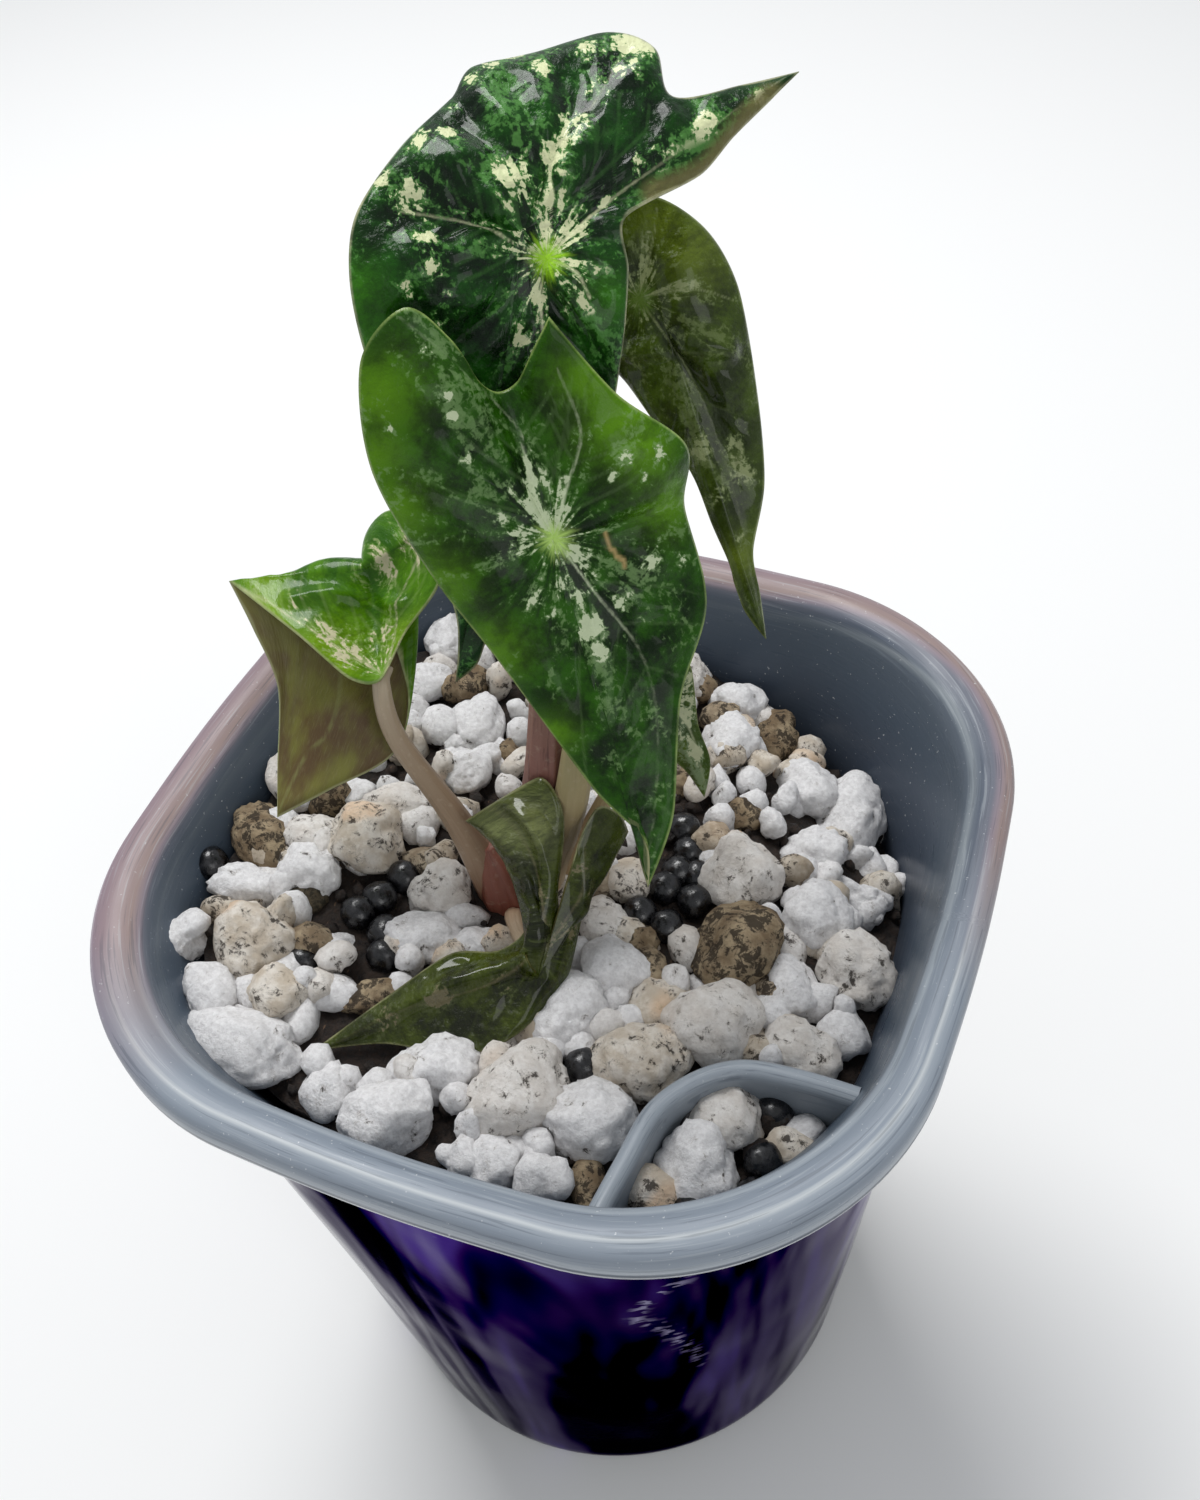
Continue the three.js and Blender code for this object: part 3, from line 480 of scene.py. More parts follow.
# on the right it stops 2 mm in from the edge, elsewhere it reaches the wall
mauve_reach = 3.6 * np.clip(0.8 - 1.6 * np.cos(way - RIGHT_SIDE), 0, 1)
on_rim = np.clip((RIM_LENGTH - over) / 1.5, 0, 1) * (over > -0.1)
liner = make_piece("liner_shell", points, faces, [liner_material], {
    "over": over, "height": xyz[:, 2], "rim": on_rim, "mauve": mauve,
    "mauve_reach": mauve_reach}, flat)
dress(liner, "frosted_grey", "liner_pot")
print("liner:", len(liner.data.polygons), "faces")

# %% [markdown]
# A curved wall inside the liner closes off the watering port in one corner. A curve object with a
# bevel profile could draw it. It is swept by hand instead, because only the part of its path that
# lies inside the liner's wall may stay. Its top is rounded, as a mould leaves it.

# %% Make the port's partition
PARTITION_PATH = [(20.5, -50), (21.8, -38), (23.2, -29.5), (28.5, -23.2), (36, -21.4), (52, -21.6)]
PARTITION_SECTION = [  # sideways, height
    (-1.3, 90), (-1.3, 109.0), (-1.15, 109.8), (-0.7, 110.35), (0, 110.5), (0.7, 110.35),
    (1.15, 109.8), (1.3, 109.0), (1.3, 90),
]


def wall_half(z):
    """The half-width and the corner of the liner's inner wall at a height."""
    heights = [row[1] for row in INNER_WALL]
    return (np.interp(z, heights, [row[0] for row in INNER_WALL]),
            np.interp(z, heights, [row[2] for row in INNER_WALL]))


def inside_liner(x, y, z, margin=0.0):
    """True where a place lies inside the liner's wall at a height, further in than a margin."""
    half, corner = wall_half(z)
    return np.hypot(x, y) < ring_radius(np.arctan2(y, x), half, corner) - margin


def sweep_partition():
    line = smooth_line(PARTITION_PATH, 120)
    line = line[inside_liner(line[:, 0], line[:, 1], 108.0, -0.9)]
    along = np.gradient(line, axis=0)
    along /= np.linalg.norm(along, axis=1)[:, None]
    side = np.stack([along[:, 1], -along[:, 0]], axis=1)
    rows = [[(*(p + side_way * s), z) for s, z in PARTITION_SECTION] for p, side_way in zip(line, side)]
    width = len(PARTITION_SECTION)
    faces = [(i * width + k, i * width + k + 1, (i + 1) * width + k + 1, (i + 1) * width + k)
             for i in range(len(line) - 1) for k in range(width - 1)]
    return [point for row in rows for point in row], faces


points, faces = sweep_partition()
tall = np.array(points)[:, 2]
# flat coordinates for the streaks, and values that pick the liner's pale inner edge
flat = [(i // len(PARTITION_SECTION) * 0.08, i % len(PARTITION_SECTION) * 0.1) for i in range(len(points))]
partition = make_piece("port_partition", points, faces, [liner_material], {
    "over": np.full(len(points), 10.0), "height": np.full(len(points), 117.0),
    "rim": np.clip((tall - 100) / 9, 0, 1), "mauve": np.zeros(len(points))}, flat)
dress(partition, "frosted_grey", "liner_pot")
print("partition:", len(faces), "faces")

# %% [markdown]
# ## Potting mix
#
# The mix is composted bark and peat: dark, damp and crumbly, with pale fibres. To the eye it is
# nearly black, and glints where it is wet. The noise is as coarse as a clod, because single grains
# of peat are too fine to show.

# %% Material: damp potting mix
mix_material, tree, shader = new_material("damp_potting_mix")
place = add(tree, "ShaderNodeTexCoord").outputs["Object"]
clods = add(tree, "ShaderNodeTexNoise", {
    "Vector": place, "Scale": METRE / 1.1111, "Detail": 6.0, "Roughness": 0.7})
thin = add(tree, "ShaderNodeMapping", {
    "Vector": place, "Scale": (METRE / 0.38462, METRE / 1.4286, METRE / 1.1111)})
fibres = add(tree, "ShaderNodeTexNoise", {
    "Vector": thin, "Scale": 1.0, "Detail": 3.0, "Roughness": 0.55})
earth = paint(tree, "#0f0b09", "#38291f", clods, 0.3, 0.75)
earth = paint(tree, earth, "#6a5340", fibres, 0.66, 0.72)
damp = add(tree, "ShaderNodeMapRange", [clods, 0.3, 0.7, 0.35, 0.9], **SMOOTH)
crumb = add(tree, "ShaderNodeBump", {"Height": clods, "Distance": 1.2 * MM, "Strength": 0.9})
plug(tree, shader, Base_Color=earth, Roughness=damp, Normal=crumb)
print("made", mix_material.name)

# %% [markdown]
# The bed fills the liner. Its surface rises a little to the left and falls away in the far right
# corner. Sculpting would do, but a rule for the height can be asked again wherever a grain, a bead
# or a crumb has to rest on it. The clods are noise added to that rule.


# %% Make the bed
MIX_LEVEL = 104.0  # the mean height of the mix at the wall
WALL_GAP = 0.3  # millimetres between the mix and the liner
CLOD_HEIGHT, CLOD_SIZE = 0.9, 6.0


def bed_height(x, y):
    """The mix's height over a place, in millimetres."""
    corner = np.maximum(0, x + 0.8 * y - 25)
    return 105 - 0.07 * x - 0.009 * corner ** 2


def rough(x, y, size, seed):
    """Soft noise from -1 to 1 over the plan."""
    return np.array([noise.fractal(Vector((a / size, b / size, seed)), 0.8, 2.0, 4)
                     for a, b in zip(np.ravel(x), np.ravel(y))]).reshape(np.shape(x))


def bed_piece():
    sides, rings = 160, 46
    angles = 2 * np.pi * np.arange(sides) / sides
    half, corner = wall_half(MIX_LEVEL)
    wall = ring_radius(angles, half, corner) - WALL_GAP
    share = np.linspace(0, 1, rings + 1)[1:]
    x = share[:, None] * (wall * np.cos(angles))[None, :]
    y = share[:, None] * (wall * np.sin(angles))[None, :]
    z = bed_height(x, y) + CLOD_HEIGHT * rough(x, y, CLOD_SIZE, 3.0)
    points = [(0, 0, float(bed_height(0.0, 0.0)))]
    points += list(zip(x.ravel(), y.ravel(), z.ravel()))
    for half, height, corner in [row for row in INNER_WALL[::-1] if row[1] < 98]:
        radius = ring_radius(angles, half - WALL_GAP, corner)
        points += [(r * math.cos(a), r * math.sin(a), height + WALL_GAP)
                   for r, a in zip(radius, angles)]
    rows = (len(points) - 1) // sides
    faces = [(0, 1 + k, 1 + (k + 1) % sides) for k in range(sides)]
    for i in range(rows - 1):
        for k in range(sides):
            n = (k + 1) % sides
            low, high = 1 + i * sides, 1 + (i + 1) * sides
            faces.append((low + k, high + k, high + n, low + n))
    last = 1 + (rows - 1) * sides
    faces.append([last + k for k in reversed(range(sides))])
    return points, faces


points, faces = bed_piece()
bed = make_piece("potting_mix", points, faces, [mix_material])
dress(bed, "potting_mix", "potting_bed")
port_bed = bpy.data.objects["port_bed"]  # keeps its solid's mesh, deep in the port
port_bed.data.materials.clear()
port_bed.data.materials.append(mix_material)
print("bed:", len(faces), "faces")

# %% [markdown]
# ## Grains of perlite and pumice
#
# Growers mix in perlite, a volcanic glass that pops to white foam when it is heated, and pumice,
# which is cream to brown and pitted. Both are dull, and hold mix in their cracks. One material
# serves all of them: a number on each grain says how white or brown it is, and another how deep in
# a dent each point lies, so that dirt gathers where it would.

# %% Material: perlite and pumice
grain_material, tree, shader = new_material("perlite_and_pumice")
place = add(tree, "ShaderNodeTexCoord").outputs["Object"]
# shade: 0 is clean perlite, 1 is brown pumice. hollow: 1 in the dents
shade, hollow = (
    add(tree, "ShaderNodeAttribute", attribute_name=key).outputs["Fac"] for key in ("shade", "hollow"))
fine = add(tree, "ShaderNodeTexNoise", {
    "Vector": place, "Scale": METRE / 0.66667, "Detail": 8.0, "Roughness": 0.7})
patches = add(tree, "ShaderNodeTexNoise", {
    "Vector": place, "Scale": METRE / 3.0303, "Detail": 4.0, "Roughness": 0.6})
clean = paint(tree, "#dedcdc", "#fdfcfc", fine, 0.3, 0.7)
warm = paint(tree, "#cbbda9", "#efe8dd", patches, 0.35, 0.65)
brown = paint(tree, "#7b6850", "#b3a183", patches, 0.35, 0.65)
stone = paint(tree, clean, warm, shade, 0.25, 0.6)
stone = paint(tree, stone, brown, shade, 0.65, 0.95)
# a peach blush on some of the cream grains, in patches of a centimetre
blush = add(tree, "ShaderNodeTexNoise", {
    "Vector": place, "Scale": METRE / 10.526, "Detail": 1.0, "Roughness": 0.55})
not_white = add(tree, "ShaderNodeMapRange", [shade, 0.4, 0.5, 0.0, 0.6], **SMOOTH)
on_cream = add(tree, "ShaderNodeMapRange", [shade, 0.9, 0.6, 0.0, not_white], **SMOOTH)
stone = paint(tree, stone, "#eec9a2", blush, 0.6, 0.7, last=on_cream)
# mix sticks in the cracks: a crisp, ragged mottle that spreads with the shade and with the dents
mottle = add(tree, "ShaderNodeTexNoise", {
    "Vector": place, "Scale": METRE / 1.6129, "Detail": 9.0, "Roughness": 0.78, "Distortion": 0.4})
stained = add(tree, "ShaderNodeMapRange", [patches, 0.4, 0.7], **SMOOTH)
grime = weighted(tree, (mottle, 1.0), (shade, 0.16), (hollow, 0.09), (stained, 0.08))
stone = paint(tree, stone, "#7d6d5a", grime, 0.62, 0.72, last=0.4)
stone = paint(tree, stone, "#2a231d", grime, 0.705, 0.73, last=0.85)
stone = paint(tree, stone, "#2c2a20", shade, 1.0, 1.15, last=0.75)
grit = add(tree, "ShaderNodeBump", {"Height": fine, "Distance": 0.6 * MM, "Strength": 0.7})
grit = add(tree, "ShaderNodeBump", {
    "Height": mottle, "Distance": 0.9 * MM, "Strength": 0.55, "Normal": grit})
plug(tree, shader, Base_Color=stone, Roughness=0.85, Normal=grit, Specular_IOR_Level=0.25)
print("made", grain_material.name)

# %% [markdown]
# The beads are slow-release fertiliser: hard balls with a thin resin coat, near black, with a
# soft shine that their pits break up. A coat layer over a dark plastic gives that shine.

# %% Material: black fertiliser beads
bead_material, tree, shader = new_material("black_fertiliser_bead")
place = add(tree, "ShaderNodeTexCoord").outputs["Object"]
pits = add(tree, "ShaderNodeTexNoise", {
    "Vector": place, "Scale": METRE / 0.76923, "Detail": 3.0, "Roughness": 0.6})
black = paint(tree, "#08080a", "#26262a", pits, 0.4, 0.8)
sheen = add(tree, "ShaderNodeMapRange", [pits, 0.3, 0.7, 0.16, 0.4], **SMOOTH)
pitted = add(tree, "ShaderNodeBump", {"Height": pits, "Distance": 0.25 * MM, "Strength": 0.5})
plug(tree, shader, Base_Color=black, Roughness=sheen, Normal=pitted, Coat_Weight=0.3,
     Coat_Roughness=0.1)
print("made", bead_material.name)

# %% [markdown]
# A grain could be a displaced sphere with modifiers, one setting for all. Each one is worked out
# here from a seed, so that no two are alike: the farthest of a few small balls swells it like
# popcorn, a few planes trim it like a stone, and noise pits its crust.


# %% The shape of one grain
def ball(level):
    mesh = bmesh.new()
    bmesh.ops.create_icosphere(mesh, subdivisions=level, radius=1.0)
    points = np.array([vertex.co[:] for vertex in mesh.verts])
    faces = np.array([[vertex.index for vertex in face.verts] for face in mesh.faces])
    mesh.free()
    return points, faces


BALLS = {level: ball(level) for level in (1, 2, 3, 4)}
FACETS = 11  # planes that trim a stone
LOBES = 5  # small balls that swell out of a puffed grain
PICTURE_TURN = 20  # degrees: lengths in the lists run along the picture's width
POPCORN = 0.0  # the shade of a grain that is puffed all over
BIG_GRAIN = 7  # millimetres: a longer grain gets four times the facets
GRAIN_SWELL = 1.06  # the listed sizes were read inside the soft outline
GRAIN_LIFT = 0.22  # share of its height by which a grain's middle lies above the mix
FACET_EDGE = 15  # how crisply the planes of a stone meet


def grain_shape(level, seed, shade):
    """A unit grain, its faces, and how deep in a dent each point lies (0 to 1).

    Clean perlite is puffed into lobes. Pumice is a stone trimmed by soft planes.
    """
    directions, faces = BALLS[level]
    rng = np.random.default_rng(seed)
    planes = rng.normal(size=(FACETS, 3))
    planes /= np.linalg.norm(planes, axis=1)[:, None]
    facing = directions @ planes.T
    reach = np.where(facing > 0.05, rng.uniform(0.7, 1.0, FACETS) / np.maximum(facing, 0.05), 9)
    stone = -np.log(np.exp(-FACET_EDGE * reach).sum(axis=1) + math.exp(-1.1 * FACET_EDGE)) / FACET_EDGE
    centres = rng.normal(size=(LOBES, 3))
    centres *= (rng.uniform(0.35, 0.7, LOBES) / np.linalg.norm(centres, axis=1))[:, None]
    along = directions @ centres.T
    inside = along ** 2 - (centres ** 2).sum(axis=1) + rng.uniform(0.35, 0.62, LOBES) ** 2
    lobe = np.where(inside > 0, along + np.sqrt(np.maximum(inside, 0)), 0.55).max(axis=1)
    puffed = 1.0 if shade == POPCORN else rng.uniform(0.1, 0.6) * max(0, 1 - 0.7 * shade)
    offset = Vector(rng.uniform(0, 50, 3).tolist())
    crust = np.array([noise.fractal(Vector(d) * 2.6 + offset, 0.7, 2.1, 5) for d in directions])
    pits = np.array([noise.noise(Vector(d) * 8.5 + offset) for d in directions])
    lumps = np.array([noise.noise(Vector(d) * 4.6 - offset) for d in directions])
    reach = stone * (1 - puffed) + lobe * puffed + 0.08 * crust + 0.05 * lumps - 0.06 * np.maximum(pits, 0)
    reach /= reach.mean()
    hollow = np.clip((1.0 - reach) * 2.0 - 0.1 - 0.8 * crust + np.maximum(pits, 0), 0, 1)
    return directions * reach[:, None], faces, hollow


print("points of a grain:", {level: len(points) for level, (points, _) in BALLS.items()})


# %% Grains in their places
def placed_grain(x, y, length, width, turn, shade, z, seed):
    """A grain that spans its length and width as listed and is sunk a little in the mix."""
    level = 4 if max(length, width) > BIG_GRAIN else 3
    points, faces, depth = grain_shape(level, seed, shade)
    size = np.array([length, width, 0.85 * min(length, width)])
    spread = points.max(axis=0) - points.min(axis=0)
    scaled = points / spread * size * GRAIN_SWELL
    angle = math.radians(turn + PICTURE_TURN)
    cos, sin = math.cos(angle), math.sin(angle)
    turned = scaled @ np.array([[cos, sin, 0], [-sin, cos, 0], [0, 0, 1]])
    centre = np.array([x, y, z + GRAIN_LIFT * size[2]])
    return turned + centre, faces, depth, np.full(len(points), shade)


def joined_grains(name, grains, materials):
    """One piece out of many grains, each with its hollows and its shade on its points."""
    points, faces, hollow, shades, first = [], [], [], [], 0
    for p, f, h, s in grains:
        points.append(p)
        faces += (f + first).tolist()
        hollow.append(h)
        shades.append(s)
        first += len(p)
    values = {"hollow": np.concatenate(hollow), "shade": np.concatenate(shades)}
    return make_piece(name, np.vstack(points), faces, materials, values)


print("an 8 mm grain spans", np.ptp(placed_grain(0, 0, 8, 8, 0, 0.5, 0, 1)[0], axis=0).round(1), "mm")

# %% [markdown]
# The grains that the eye picks out in the photograph are placed one by one, with their size, turn
# and kind. Scattering alone would be quicker, but the large pale ones are what a reader compares.

# %% The grains that the eye picks out
# x, y, length along X, length along Y, turn in degrees, kind
WHITE, SPECKLED, CREAM, GREY, BROWN, DARK = 0.05, 0.42, 0.55, 0.75, 0.97, 1.15
SEEN_GRAINS = [
    (-42, -28, 8.5, 8, 0, POPCORN), (-25.5, -37.5, 15, 9.5, -22, WHITE), (-5.5, -39.5, 10.5, 9, 10, WHITE),
    (3, -41, 5, 5, 0, POPCORN), (15, -32, 11.5, 9.5, 0, WHITE), (7, -31, 12.5, 10.5, 35, SPECKLED),
    (-3.5, -32, 10.5, 8, 0, WHITE), (19, -23, 11.5, 9.5, -20, CREAM), (24.5, -15.5, 12, 10.5, 0, SPECKLED),
    (24, -4.5, 11.5, 13, -15, BROWN), (21.5, 7, 11, 10.5, 15, SPECKLED), (30, 26, 9.5, 14, -20, WHITE),
    (24.5, 27, 8.5, 8.5, 0, WHITE), (36, 12, 9, 6, -15, POPCORN), (38, -1.5, 9, 10.5, 25, SPECKLED),
    (31.5, 4.5, 9, 10, 0, WHITE), (31.5, -7, 6.5, 8.5, 0, WHITE), (30, -11, 6, 6, 0, WHITE),
    (35, -14.5, 9.5, 7, -20, SPECKLED), (39, -10.5, 6.5, 6, 0, WHITE), (33, -19.5, 4, 5.5, 0, BROWN),
    (18, -38.5, 4, 7, 0, BROWN), (13.5, -39.5, 6.5, 7, 0, POPCORN), (7.5, -39.5, 6.5, 8.5, 0, WHITE),
    (-14, -39, 6, 7, 0, WHITE), (-33.5, -32.5, 7.5, 8, 0, WHITE), (-31.5, -25, 10.5, 11, 0, CREAM),
    (-25.5, -30, 8, 8, 0, CREAM), (-38.5, -21.5, 6, 4.5, 0, GREY), (-38, -17, 9, 5.5, 0, WHITE),
    (-30, -16.5, 6.5, 4, 10, DARK), (-36, -17.5, 4.5, 4, 0, CREAM), (-23.5, -21.5, 6, 5, 0, POPCORN),
    (-31, -12, 8, 8.5, 0, WHITE),
    (-26.5, -6, 10.5, 10.5, 0, CREAM), (-34, -7, 8, 6.5, 0, SPECKLED), (-40, -10, 7, 11.5, 20, BROWN),
    (-40.5, 1, 7, 9.5, 20, SPECKLED), (-40.5, 10, 5.5, 7.5, 0, WHITE), (-20, -27, 6.5, 5, 0, WHITE),
    (-14, -9, 8, 7.5, 0, SPECKLED), (-13.5, -16.5, 9.5, 7, 0, WHITE), (-6, -15, 7.5, 5.5, 0, WHITE),
    (-15, -26, 9.5, 5, 0, BROWN), (-32.5, 33, 7, 9.5, 0, WHITE), (-32, 24, 7, 7.5, 0, WHITE),
    (-21.5, 18.5, 7.5, 11, 0, WHITE), (-26.5, 16.5, 6.5, 7, 0, WHITE), (-19, 11, 7, 8, 0, WHITE),
    (-15.5, 15.5, 4.5, 5, 0, BROWN), (-25, 1.5, 9.5, 7, 0, SPECKLED), (-32, 1.5, 6, 4.5, 0, WHITE),
    (3, 38, 8, 8, 0, SPECKLED), (10.5, 37, 8.5, 7.5, 0, WHITE), (12, 29, 8, 10, 0, WHITE),
    (17, 36, 6, 7, 0, BROWN), (8, 22.5, 6, 10.5, 0, BROWN), (18, 17.5, 5.5, 5, 0, BROWN),
    (28.5, 16, 9, 8, 0, WHITE), (35, 19.5, 4.5, 5, 0, WHITE), (7.5, 1.5, 6, 6.5, 0, CREAM),
    (10.5, -12, 8.5, 8.5, 0, WHITE), (8, -20.5, 10, 8.5, 25, WHITE), (17.5, -15, 7, 7, 0, CREAM),
    (7, -6, 6, 8, 0, SPECKLED), (12, -7, 5, 5.5, 0, BROWN),
]
PORT_GRAINS = [
    (30, -25.5, 8.5, 9, 0, SPECKLED), (29, -32.5, 9, 9, 20, WHITE), (24.5, -37.5, 6.5, 6.5, 0, CREAM),
    (37.5, -27, 6, 4.5, 0, CREAM), (38.3, -24.3, 4.5, 4, 0, WHITE), (32, -38.5, 5, 4, 0, WHITE),
]
BEADS = [
    (-16.5, -20), (-21, -12.5), (12.5, 2), (13.5, 8.5), (-22.5, -15.5), (-18, -17), (14.5, -3.5),
    (10.8, -2.8), (16.5, 1.5), (13.2, 5), (12, -25.3), (-25.5, -24.5), (-44, -15.5), (-19.5, -8.5),
    (15.8, 5.2), (11.5, 12),
]
PORT_BEADS = [(29.5, -38), (35, -29.5), (26, -26.8), (34.5, -23.6), (35.4, -34)]
PORT_FILL_TOP = 103.5
BEAD_RADIUS = 2.3
BEAD_LIFT = 0.8  # millimetres by which a bead's middle lies above the mix
SEEN_SEED, PORT_SEED, KIND_SEED = 11, 211, 401
print("grains and beads listed:", len(SEEN_GRAINS) + len(PORT_GRAINS), len(BEADS) + len(PORT_BEADS))

# %% Make the placed grains
grains = [placed_grain(x, y, lx, ly, turn, kind, float(bed_height(x, y)), SEEN_SEED + i)
          for i, (x, y, lx, ly, turn, kind) in enumerate(SEEN_GRAINS)]
half = len(grains) // 2
for name, group in (("grains_left", grains[:half]), ("grains_right", grains[half:])):
    piece = joined_grains(name, group, [grain_material])
    dress(piece, "perlite", "perlite_grains")
    print(name, len(piece.data.polygons), "faces")
port_grains = joined_grains("grains_in_port", [
    placed_grain(x, y, lx, ly, turn, kind, PORT_FILL_TOP, PORT_SEED + i)
    for i, (x, y, lx, ly, turn, kind) in enumerate(PORT_GRAINS)], [grain_material])
dress(port_grains, "perlite", "port_grains")

# %% [markdown]
# A bead could be a plain sphere, but resin-coated beads are never quite round. Two soft noises
# swell each one by a tenth.


# %% Make the beads
def bead(x, y, z, seed):
    directions, faces = BALLS[3]
    offset = Vector((seed, seed * 2.7, 0))
    swell = np.array([1 + 0.09 * noise.noise(Vector(d) * 1.4 + offset)
                      + 0.02 * noise.noise(Vector(d) * 5 + offset) for d in directions])
    points = directions * swell[:, None] * BEAD_RADIUS + np.array([x, y, z + BEAD_LIFT])
    return points, faces, np.zeros(len(points)), np.zeros(len(points))


places = [(x, y, float(bed_height(x, y))) for x, y in BEADS]
places += [(x, y, PORT_FILL_TOP) for x, y in PORT_BEADS]
beads = joined_grains("fertiliser_beads", [bead(*at, i) for i, at in enumerate(places)], [bead_material])
dress(beads, "potting_mix")
print("beads:", len(places))

# %% [markdown]
# The smaller grains and the crumbs between them are many, and nobody compares them one by one, so
# Geometry Nodes strew them. A particle system could do it as well, but a node group names its
# spacing, sizes and seed as inputs and can be used three times. It starts from the bed's surface,
# where each point carries `room`: 0 near a placed grain, a bead or the plant. At each spot it
# picks one of six shapes, and it ends in plain geometry, because an export drops instances.


# %% A node group that strews pieces over a surface
KINDS = 6  # different shapes to pick from
FULL_TURN = 6.283  # radians


def strew_group():
    group = bpy.data.node_groups.new("strew_over_surface", "GeometryNodeTree")
    face = group.interface
    face.new_socket("Geometry", in_out="INPUT", socket_type="NodeSocketGeometry")
    face.new_socket("Pieces", in_out="INPUT", socket_type="NodeSocketCollection")
    face.new_socket("Material", in_out="INPUT", socket_type="NodeSocketMaterial")
    for name in ("Spacing", "Smallest", "Largest", "Lift"):
        face.new_socket(name, in_out="INPUT", socket_type="NodeSocketFloat")
    face.new_socket("Seed", in_out="INPUT", socket_type="NodeSocketInt")
    face.new_socket("Geometry", in_out="OUTPUT", socket_type="NodeSocketGeometry")
    given = add(group, "NodeGroupInput").outputs
    room = add(group, "GeometryNodeInputNamedAttribute", {"Name": "room"}, data_type="FLOAT")
    points = add(group, "GeometryNodeDistributePointsOnFaces", {
        "Mesh": given["Geometry"], "Distance Min": given["Spacing"], "Density Max": 60000.0,
        "Density Factor": room.outputs[0], "Seed": given["Seed"]}, distribute_method="POISSON")
    raised = add(group, "GeometryNodeSetPosition", {
        "Geometry": points.outputs["Points"],
        "Offset": add(group, "ShaderNodeCombineXYZ", {"Z": given["Lift"]}).outputs[0]})
    kinds = add(group, "GeometryNodeCollectionInfo", {
        "Collection": given["Pieces"], "Separate Children": True, "Reset Children": True})
    # the random node has sockets of its own for each kind: vector 0 and 1, number 2 and 3, whole 4 and 5
    pick = add(group, "FunctionNodeRandomValue", {4: 0, 5: KINDS - 1, "Seed": given["Seed"]},
               data_type="INT")
    turn = add(group, "FunctionNodeRandomValue", {0: (0, 0, 0), 1: (FULL_TURN,) * 3, "Seed": given["Seed"]},
               data_type="FLOAT_VECTOR")
    size = add(group, "FunctionNodeRandomValue", {
        2: given["Smallest"], 3: given["Largest"], "Seed": given["Seed"]}, data_type="FLOAT")
    copies = add(group, "GeometryNodeInstanceOnPoints", {
        "Points": raised.outputs[0], "Instance": kinds.outputs[0], "Pick Instance": True,
        "Instance Index": pick, "Rotation": turn, "Scale": size})
    shade = add(group, "FunctionNodeRandomValue", {2: 0.0, 3: 1.0, "Seed": given["Seed"]},
                data_type="FLOAT")
    skewed = add(group, "ShaderNodeMath", {0: shade, 1: 2.2}, operation="POWER")
    toned = add(group, "GeometryNodeStoreNamedAttribute", {
        "Geometry": copies.outputs[0], "Name": "shade", "Value": skewed.outputs[0]},
        data_type="FLOAT", domain="INSTANCE")
    real = add(group, "GeometryNodeRealizeInstances", {"Geometry": toned.outputs[0]})
    dressed = add(group, "GeometryNodeSetMaterial", {
        "Geometry": real.outputs[0], "Material": given["Material"]})
    add(group, "NodeGroupOutput", {"Geometry": dressed.outputs[0]})
    return group


# %% Strew one kind of piece
def strew(name, surface, kinds, material, group, settings):
    """Strew one kind of piece over a surface and return it as a plain mesh."""
    piece = bpy.data.objects.new(name, surface.copy())
    scene.collection.objects.link(piece)
    modifier = piece.modifiers.new("strew", "NODES")
    modifier.node_group = group
    sockets = {item.name: item.identifier for item in group.interface.items_tree
               if item.in_out == "INPUT"}
    for key, value in {"Pieces": kinds, "Material": material, **settings}.items():
        modifier[sockets[key]] = value
    bpy.context.view_layer.update()
    made = piece.evaluated_get(bpy.context.evaluated_depsgraph_get())
    plain = bpy.data.meshes.new_from_object(made)
    piece.modifiers.clear()
    piece.data = plain
    plain.name = name
    plain.shade_smooth()
    return piece


group = strew_group()
print("inputs of the group:", [item.name for item in group.interface.items_tree if item.in_out == "INPUT"])

# %% [markdown]
# Where may a strewn grain lie? Weight painting could say it by hand. A rule is surer: not on a
# placed grain or a bead, not on the crown or under the small leaf, not in the port, and not in the
# liner's wall. The mix also stays bare where the photograph shows it bare.


# %% Room for strewn grains
CROWN = (-5, -5)
SMALL_LEAF_AXIS = ((-18.5, -35.0), (6.0, -18.5))
BARE_UPPER = [(*CROWN, 6.5), (13, 4, 6.0), (-20.5, -13.5, 5.0)]  # x, y, radius without upper grains
# dark mix and beads lie open round the crown and on both sides of it
BARE_LOWER = [(*CROWN, 7), (-20, -14, 6), (13, 2, 7)]
BEAD_ROOM = 3.0
GRAIN_ROOM = 0.8  # share of a placed grain's mean radius
LEAF_ROOM = 6.5
UPPER_WALL_ROOM, LOWER_WALL_ROOM, CRUMB_WALL_ROOM = 3.2, 3.6, 1.2  # from the liner's wall


def in_port(x, y):
    return (x > 17) & (y < -18)


def room_at(x, y):
    """1 where a strewn grain fits, 0 near what is already there."""
    room = np.ones_like(x)
    taken = [(gx, gy, 0.25 * (lx + ly) * GRAIN_ROOM) for gx, gy, lx, ly, _, _ in SEEN_GRAINS]
    taken += [(bx, by, BEAD_ROOM) for bx, by in BEADS]
    taken += BARE_UPPER
    for gx, gy, reach_mm in taken:
        room[np.hypot(x - gx, y - gy) < reach_mm] = 0
    (ax, ay), (bx, by) = SMALL_LEAF_AXIS
    share = np.clip(((x - ax) * (bx - ax) + (y - ay) * (by - ay))
                    / ((bx - ax) ** 2 + (by - ay) ** 2), 0, 1)
    room[np.hypot(x - ax - share * (bx - ax), y - ay - share * (by - ay)) < LEAF_ROOM] = 0
    room[~inside_liner(x, y, 106.0, UPPER_WALL_ROOM)] = 0
    room[in_port(x, y)] = 0
    return room


print("room at the crown:", room_at(np.array([CROWN[0]]), np.array([CROWN[1]])))


